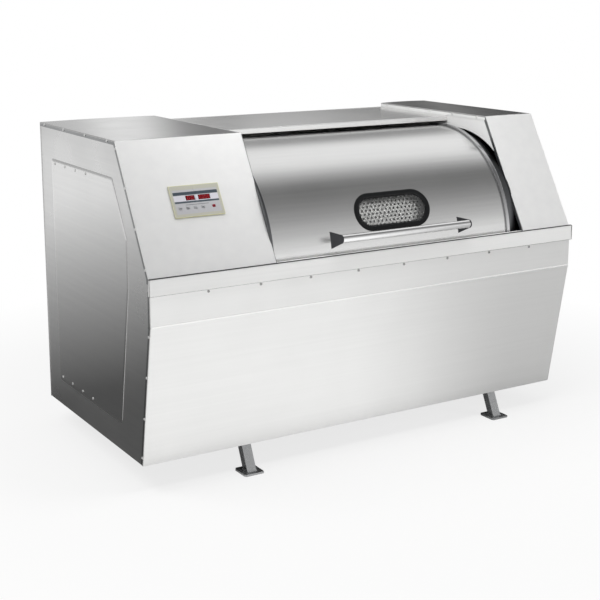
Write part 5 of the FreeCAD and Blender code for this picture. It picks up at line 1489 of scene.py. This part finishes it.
@dataclass
class Studio:
    """Pale floor, soft light and the camera."""

    camera_place: tuple[float, float, float] = (-2.7485, -4.4037, 1.8294)
    camera_yaw: float = -31.43
    camera_pitch: float = -11.39
    lens: float = 73.86
    shift_y: float = -0.1
    sensor: float = 36.0
    floor_reach: float = 14.0
    floor_rings: tuple[float, int] = (0.05, 12)
    floor_sides: int = 64
    floor_drop: float = 0.0006
    floor_shadow: tuple[float, ...] = (1.0, 2.6, 0.22, 0.0)
    floor_beside: tuple[float, ...] = (0.8, 6.0, 0.09, 0.95)
    floor_slant: float = 0.65
    floor_before: tuple[float, ...] = (-0.4, 0.62, 1.27, 0.54)
    floor_leftward: tuple[float, ...] = (-2.2, -1.0, 0.6, 1.0)
    floor_front: tuple[float, ...] = (-0.4, -0.6, 0.0, 1.0)
    room_light: float = 0.6
    lamp_aim: tuple[float, float, float] = (0.1, -0.1, 0.7)
    lamps: tuple[tuple[str, float, tuple[float, float, float], tuple[float, float]], ...] = (
        ("soft lamp", 26.0, (0.05, -1.0, 2.6), (1.0, 0.8)),
        ("side lamp", 32.0, (-2.2, 0.2, 2.6), (1.5, 1.5)),
        ("low lamp", 7.0, (1.7, -1.8, 0.95), (0.7, 0.7)))
    arch: tuple[tuple[float, float], ...] = (
        (0, 1.1), (8, 0.9), (19, 0.64), (30, 0.5), (40, 0.36), (51, 0.27), (61, 0.2), (72, 0.18), (82, 0.4),
        (93, 0.8), (103, 1.02), (126, 1.02), (132, 0.92), (137, 0.64), (142, 0.38), (147, 0.32),
        (165, 0.4), (180, 0.4))
    low_back_from: tuple[float, float] = (150.0, 168.0)
    low_back: tuple[tuple[float, float], ...] = (
        (0.31, 0.5), (0.356, 0.6), (0.378, 0.86), (0.405, 0.84), (0.437, 0.3), (0.463, 0.17), (0.486, 0.36),
        (0.52, 0.34), (0.56, 0.18), (0.589, 0.1), (0.614, 0.2), (0.64, 0.08), (0.68, 0.06))

    def floor(self) -> None:
        """Floor disc of rings: white to the camera where no shadow falls; in mirrors an emission with painted
        shade beside the machine, fading out behind it, and a painted pool of light in front.
        """
        inner, rings = self.floor_rings
        ring = np.linspace(inner, 1, rings)[:, None] ** 2 * self.floor_reach
        turn = circle(self.floor_sides)
        disc = grid(stacked(ring * np.cos(turn), ring * np.sin(turn), -self.floor_drop), close_columns=True)
        mesh = bpy.data.meshes.new("studio_floor")
        mesh.from_pydata(disc.points.tolist(), [], disc.quads.tolist() + [list(range(self.floor_sides))])
        floor = bpy.data.objects.new("studio_floor", mesh)
        bpy.context.scene.collection.objects.link(floor)
        paper = bpy.data.materials.new("white paper floor")
        paper.use_nodes = True
        tree = paper.node_tree
        tree.nodes.clear()
        path = add_node(tree, "ShaderNodeLightPath")
        place = add_node(tree, "ShaderNodeTexCoord").outputs["Object"]
        part = add_node(tree, "ShaderNodeSeparateXYZ", {0: place})
        diffuse = add_node(tree, "ShaderNodeBsdfDiffuse", {"Color": linear("#F4F4F3")})
        white = add_node(tree, "ShaderNodeEmission", {"Color": linear("#FFFFFF"), "Strength": 1.0})
        reach = add_node(tree, "ShaderNodeVectorMath", {0: place}, operation="LENGTH")
        # In mirrors: painted shade beside the machine, and a painted pool of light in front, brightest to the
        # left.
        shadow, beside, leftward, front = (
            add_node(tree, "ShaderNodeMapRange", dict(zip(MAP_RANGE, (value, *stops)))).outputs[0]
            for value, stops in (
                (reach.outputs["Value"], self.floor_shadow), (part.outputs[1], self.floor_beside),
                (part.outputs[0], self.floor_leftward), (part.outputs[1], self.floor_front)))
        seen = add_node(tree, "ShaderNodeMixShader", {0: shadow, 1: white.outputs[0], 2: diffuse.outputs[0]})
        across = add_node(tree, "ShaderNodeMath", {
            0: part.outputs[1], 1: self.floor_slant, 2: part.outputs[0]}, operation="MULTIPLY_ADD")
        fade = dict(zip(MAP_RANGE, (across.outputs[0], *self.floor_before)))
        before = add_node(tree, "ShaderNodeMapRange", fade, interpolation_type="SMOOTHSTEP")
        before = add_node(tree, "ShaderNodeMath", {0: before.outputs[0], 1: leftward}, operation="MULTIPLY")
        tone = add_node(tree, "ShaderNodeMix", {0: front, 2: beside, 3: before.outputs[0]}, data_type="FLOAT")
        mirrored = add_node(tree, "ShaderNodeEmission", {"Strength": tone.outputs[0]})
        lit = add_node(tree, "ShaderNodeMixShader", {
            0: path.outputs["Is Glossy Ray"], 1: diffuse.outputs[0], 2: mirrored.outputs[0]})
        straight = add_node(tree, "ShaderNodeMath", {
            0: path.outputs["Is Camera Ray"], 1: path.outputs["Is Transmission Ray"]}, operation="MAXIMUM")
        both = add_node(tree, "ShaderNodeMixShader", {
            0: straight.outputs[0], 1: lit.outputs[0], 2: seen.outputs[0]})
        add_node(tree, "ShaderNodeOutputMaterial", {"Surface": both.outputs[0]})
        mesh.materials.append(paper)

    def sky(self) -> None:
        """Studio room: bright low in front, dim above the front and lit behind; white to the camera.

        The arch runs over the machine by its angle from the front; low at the back the light falls off to
        the right.
        Matt surfaces get less of the room, so that the lamps shade them.
        """
        world = bpy.data.worlds.new("studio room")
        bpy.context.scene.world = world
        world.use_nodes = True
        tree = world.node_tree
        tree.nodes.clear()
        view = add_node(tree, "ShaderNodeTexCoord").outputs["Generated"]
        way = add_node(tree, "ShaderNodeSeparateXYZ", {0: view})
        ahead = add_node(tree, "ShaderNodeMath", {0: way.outputs[1], 1: -1.0}, operation="MULTIPLY")
        turn = add_node(tree, "ShaderNodeMath", {0: way.outputs[2], 1: ahead.outputs[0]}, operation="ARCTAN2")
        swing = add_node(tree, "ShaderNodeMath", {0: turn.outputs[0]}, operation="ABSOLUTE")
        share = add_node(tree, "ShaderNodeMath", {0: swing.outputs[0], 1: math.pi}, operation="DIVIDE")
        ramps = []
        for source, stops, whole in ((share.outputs[0], self.arch, 180), (way.outputs[0], self.low_back, 1)):
            ramp = add_node(tree, "ShaderNodeValToRGB", {0: source})
            while len(ramp.color_ramp.elements) < len(stops):
                ramp.color_ramp.elements.new(0.5)
            for element, (place, level) in zip(ramp.color_ramp.elements, stops):
                element.position = place / whole
                element.color = (level, level, level, 1.0)
            ramps.append(ramp.outputs[0])
        start, end = (angle / 180 for angle in self.low_back_from)
        blend = dict(zip(MAP_RANGE, (share.outputs[0], start, end, 0.0, 1.0)))
        low = add_node(tree, "ShaderNodeMapRange", blend)
        room = add_node(tree, "ShaderNodeMix", {0: low.outputs[0], 6: ramps[0], 7: ramps[1]},
                        data_type="RGBA")
        path = add_node(tree, "ShaderNodeLightPath")
        direct = add_node(tree, "ShaderNodeMath", {
            0: path.outputs["Is Camera Ray"], 1: path.outputs["Is Transmission Ray"]}, operation="MAXIMUM")
        level = add_node(tree, "ShaderNodeMapRange", {
            "Value": path.outputs["Is Diffuse Ray"], "To Min": 1.0, "To Max": self.room_light})
        dim = add_node(tree, "ShaderNodeBackground", {"Color": room.outputs[2], "Strength": level.outputs[0]})
        white = add_node(tree, "ShaderNodeBackground", {"Color": linear("#FFFFFF"), "Strength": 1.0})
        mixed = add_node(tree, "ShaderNodeMixShader", {
            0: direct.outputs[0], 1: dim.outputs[0], 2: white.outputs[0]})
        add_node(tree, "ShaderNodeOutputWorld", {"Surface": mixed.outputs[0]})

    def light(self) -> None:
        """Soft lamps above the front, at the left and low at the right, unseen by mirrors and camera."""
        for name, power, place, size in self.lamps:
            data = bpy.data.lights.new(name, "AREA")
            data.shape = "RECTANGLE"
            data.size, data.size_y = size
            data.energy = power
            lamp = bpy.data.objects.new(name, data)
            lamp.location = place
            aim = np.array(self.lamp_aim) - np.array(place)
            tilt, swing = math.atan2(math.hypot(aim[0], aim[1]), -aim[2]), math.atan2(-aim[0], aim[1])
            lamp.rotation_euler = (tilt, 0.0, swing)
            lamp.visible_glossy = lamp.visible_camera = False
            bpy.context.scene.collection.objects.link(lamp)

    def camera(self) -> None:
        """Camera at the photograph's place."""
        data = bpy.data.cameras.new("camera")
        data.lens, data.sensor_width, data.shift_y = self.lens, self.sensor, self.shift_y
        camera = bpy.data.objects.new("camera", data)
        camera.location = self.camera_place
        camera.rotation_euler = (math.radians(90 + self.camera_pitch), 0.0, math.radians(self.camera_yaw))
        bpy.context.scene.collection.objects.link(camera)
        bpy.context.scene.camera = camera

    def build(self) -> None:
        """Sets up the studio."""
        self.floor()
        self.sky()
        self.light()
        self.camera()
        bpy.context.scene.view_settings.view_transform = "Standard"


def main() -> None:
    """Builds the machine and its studio."""
    logging.basicConfig(level=logging.INFO, format="%(name)s %(message)s")
    for assembly in (Cabinet(), Door(), Drum(), Controls(), Legs(), Fasteners(), Works(), Studio()):
        assembly.build()


if __name__ == "__main__":
    main()
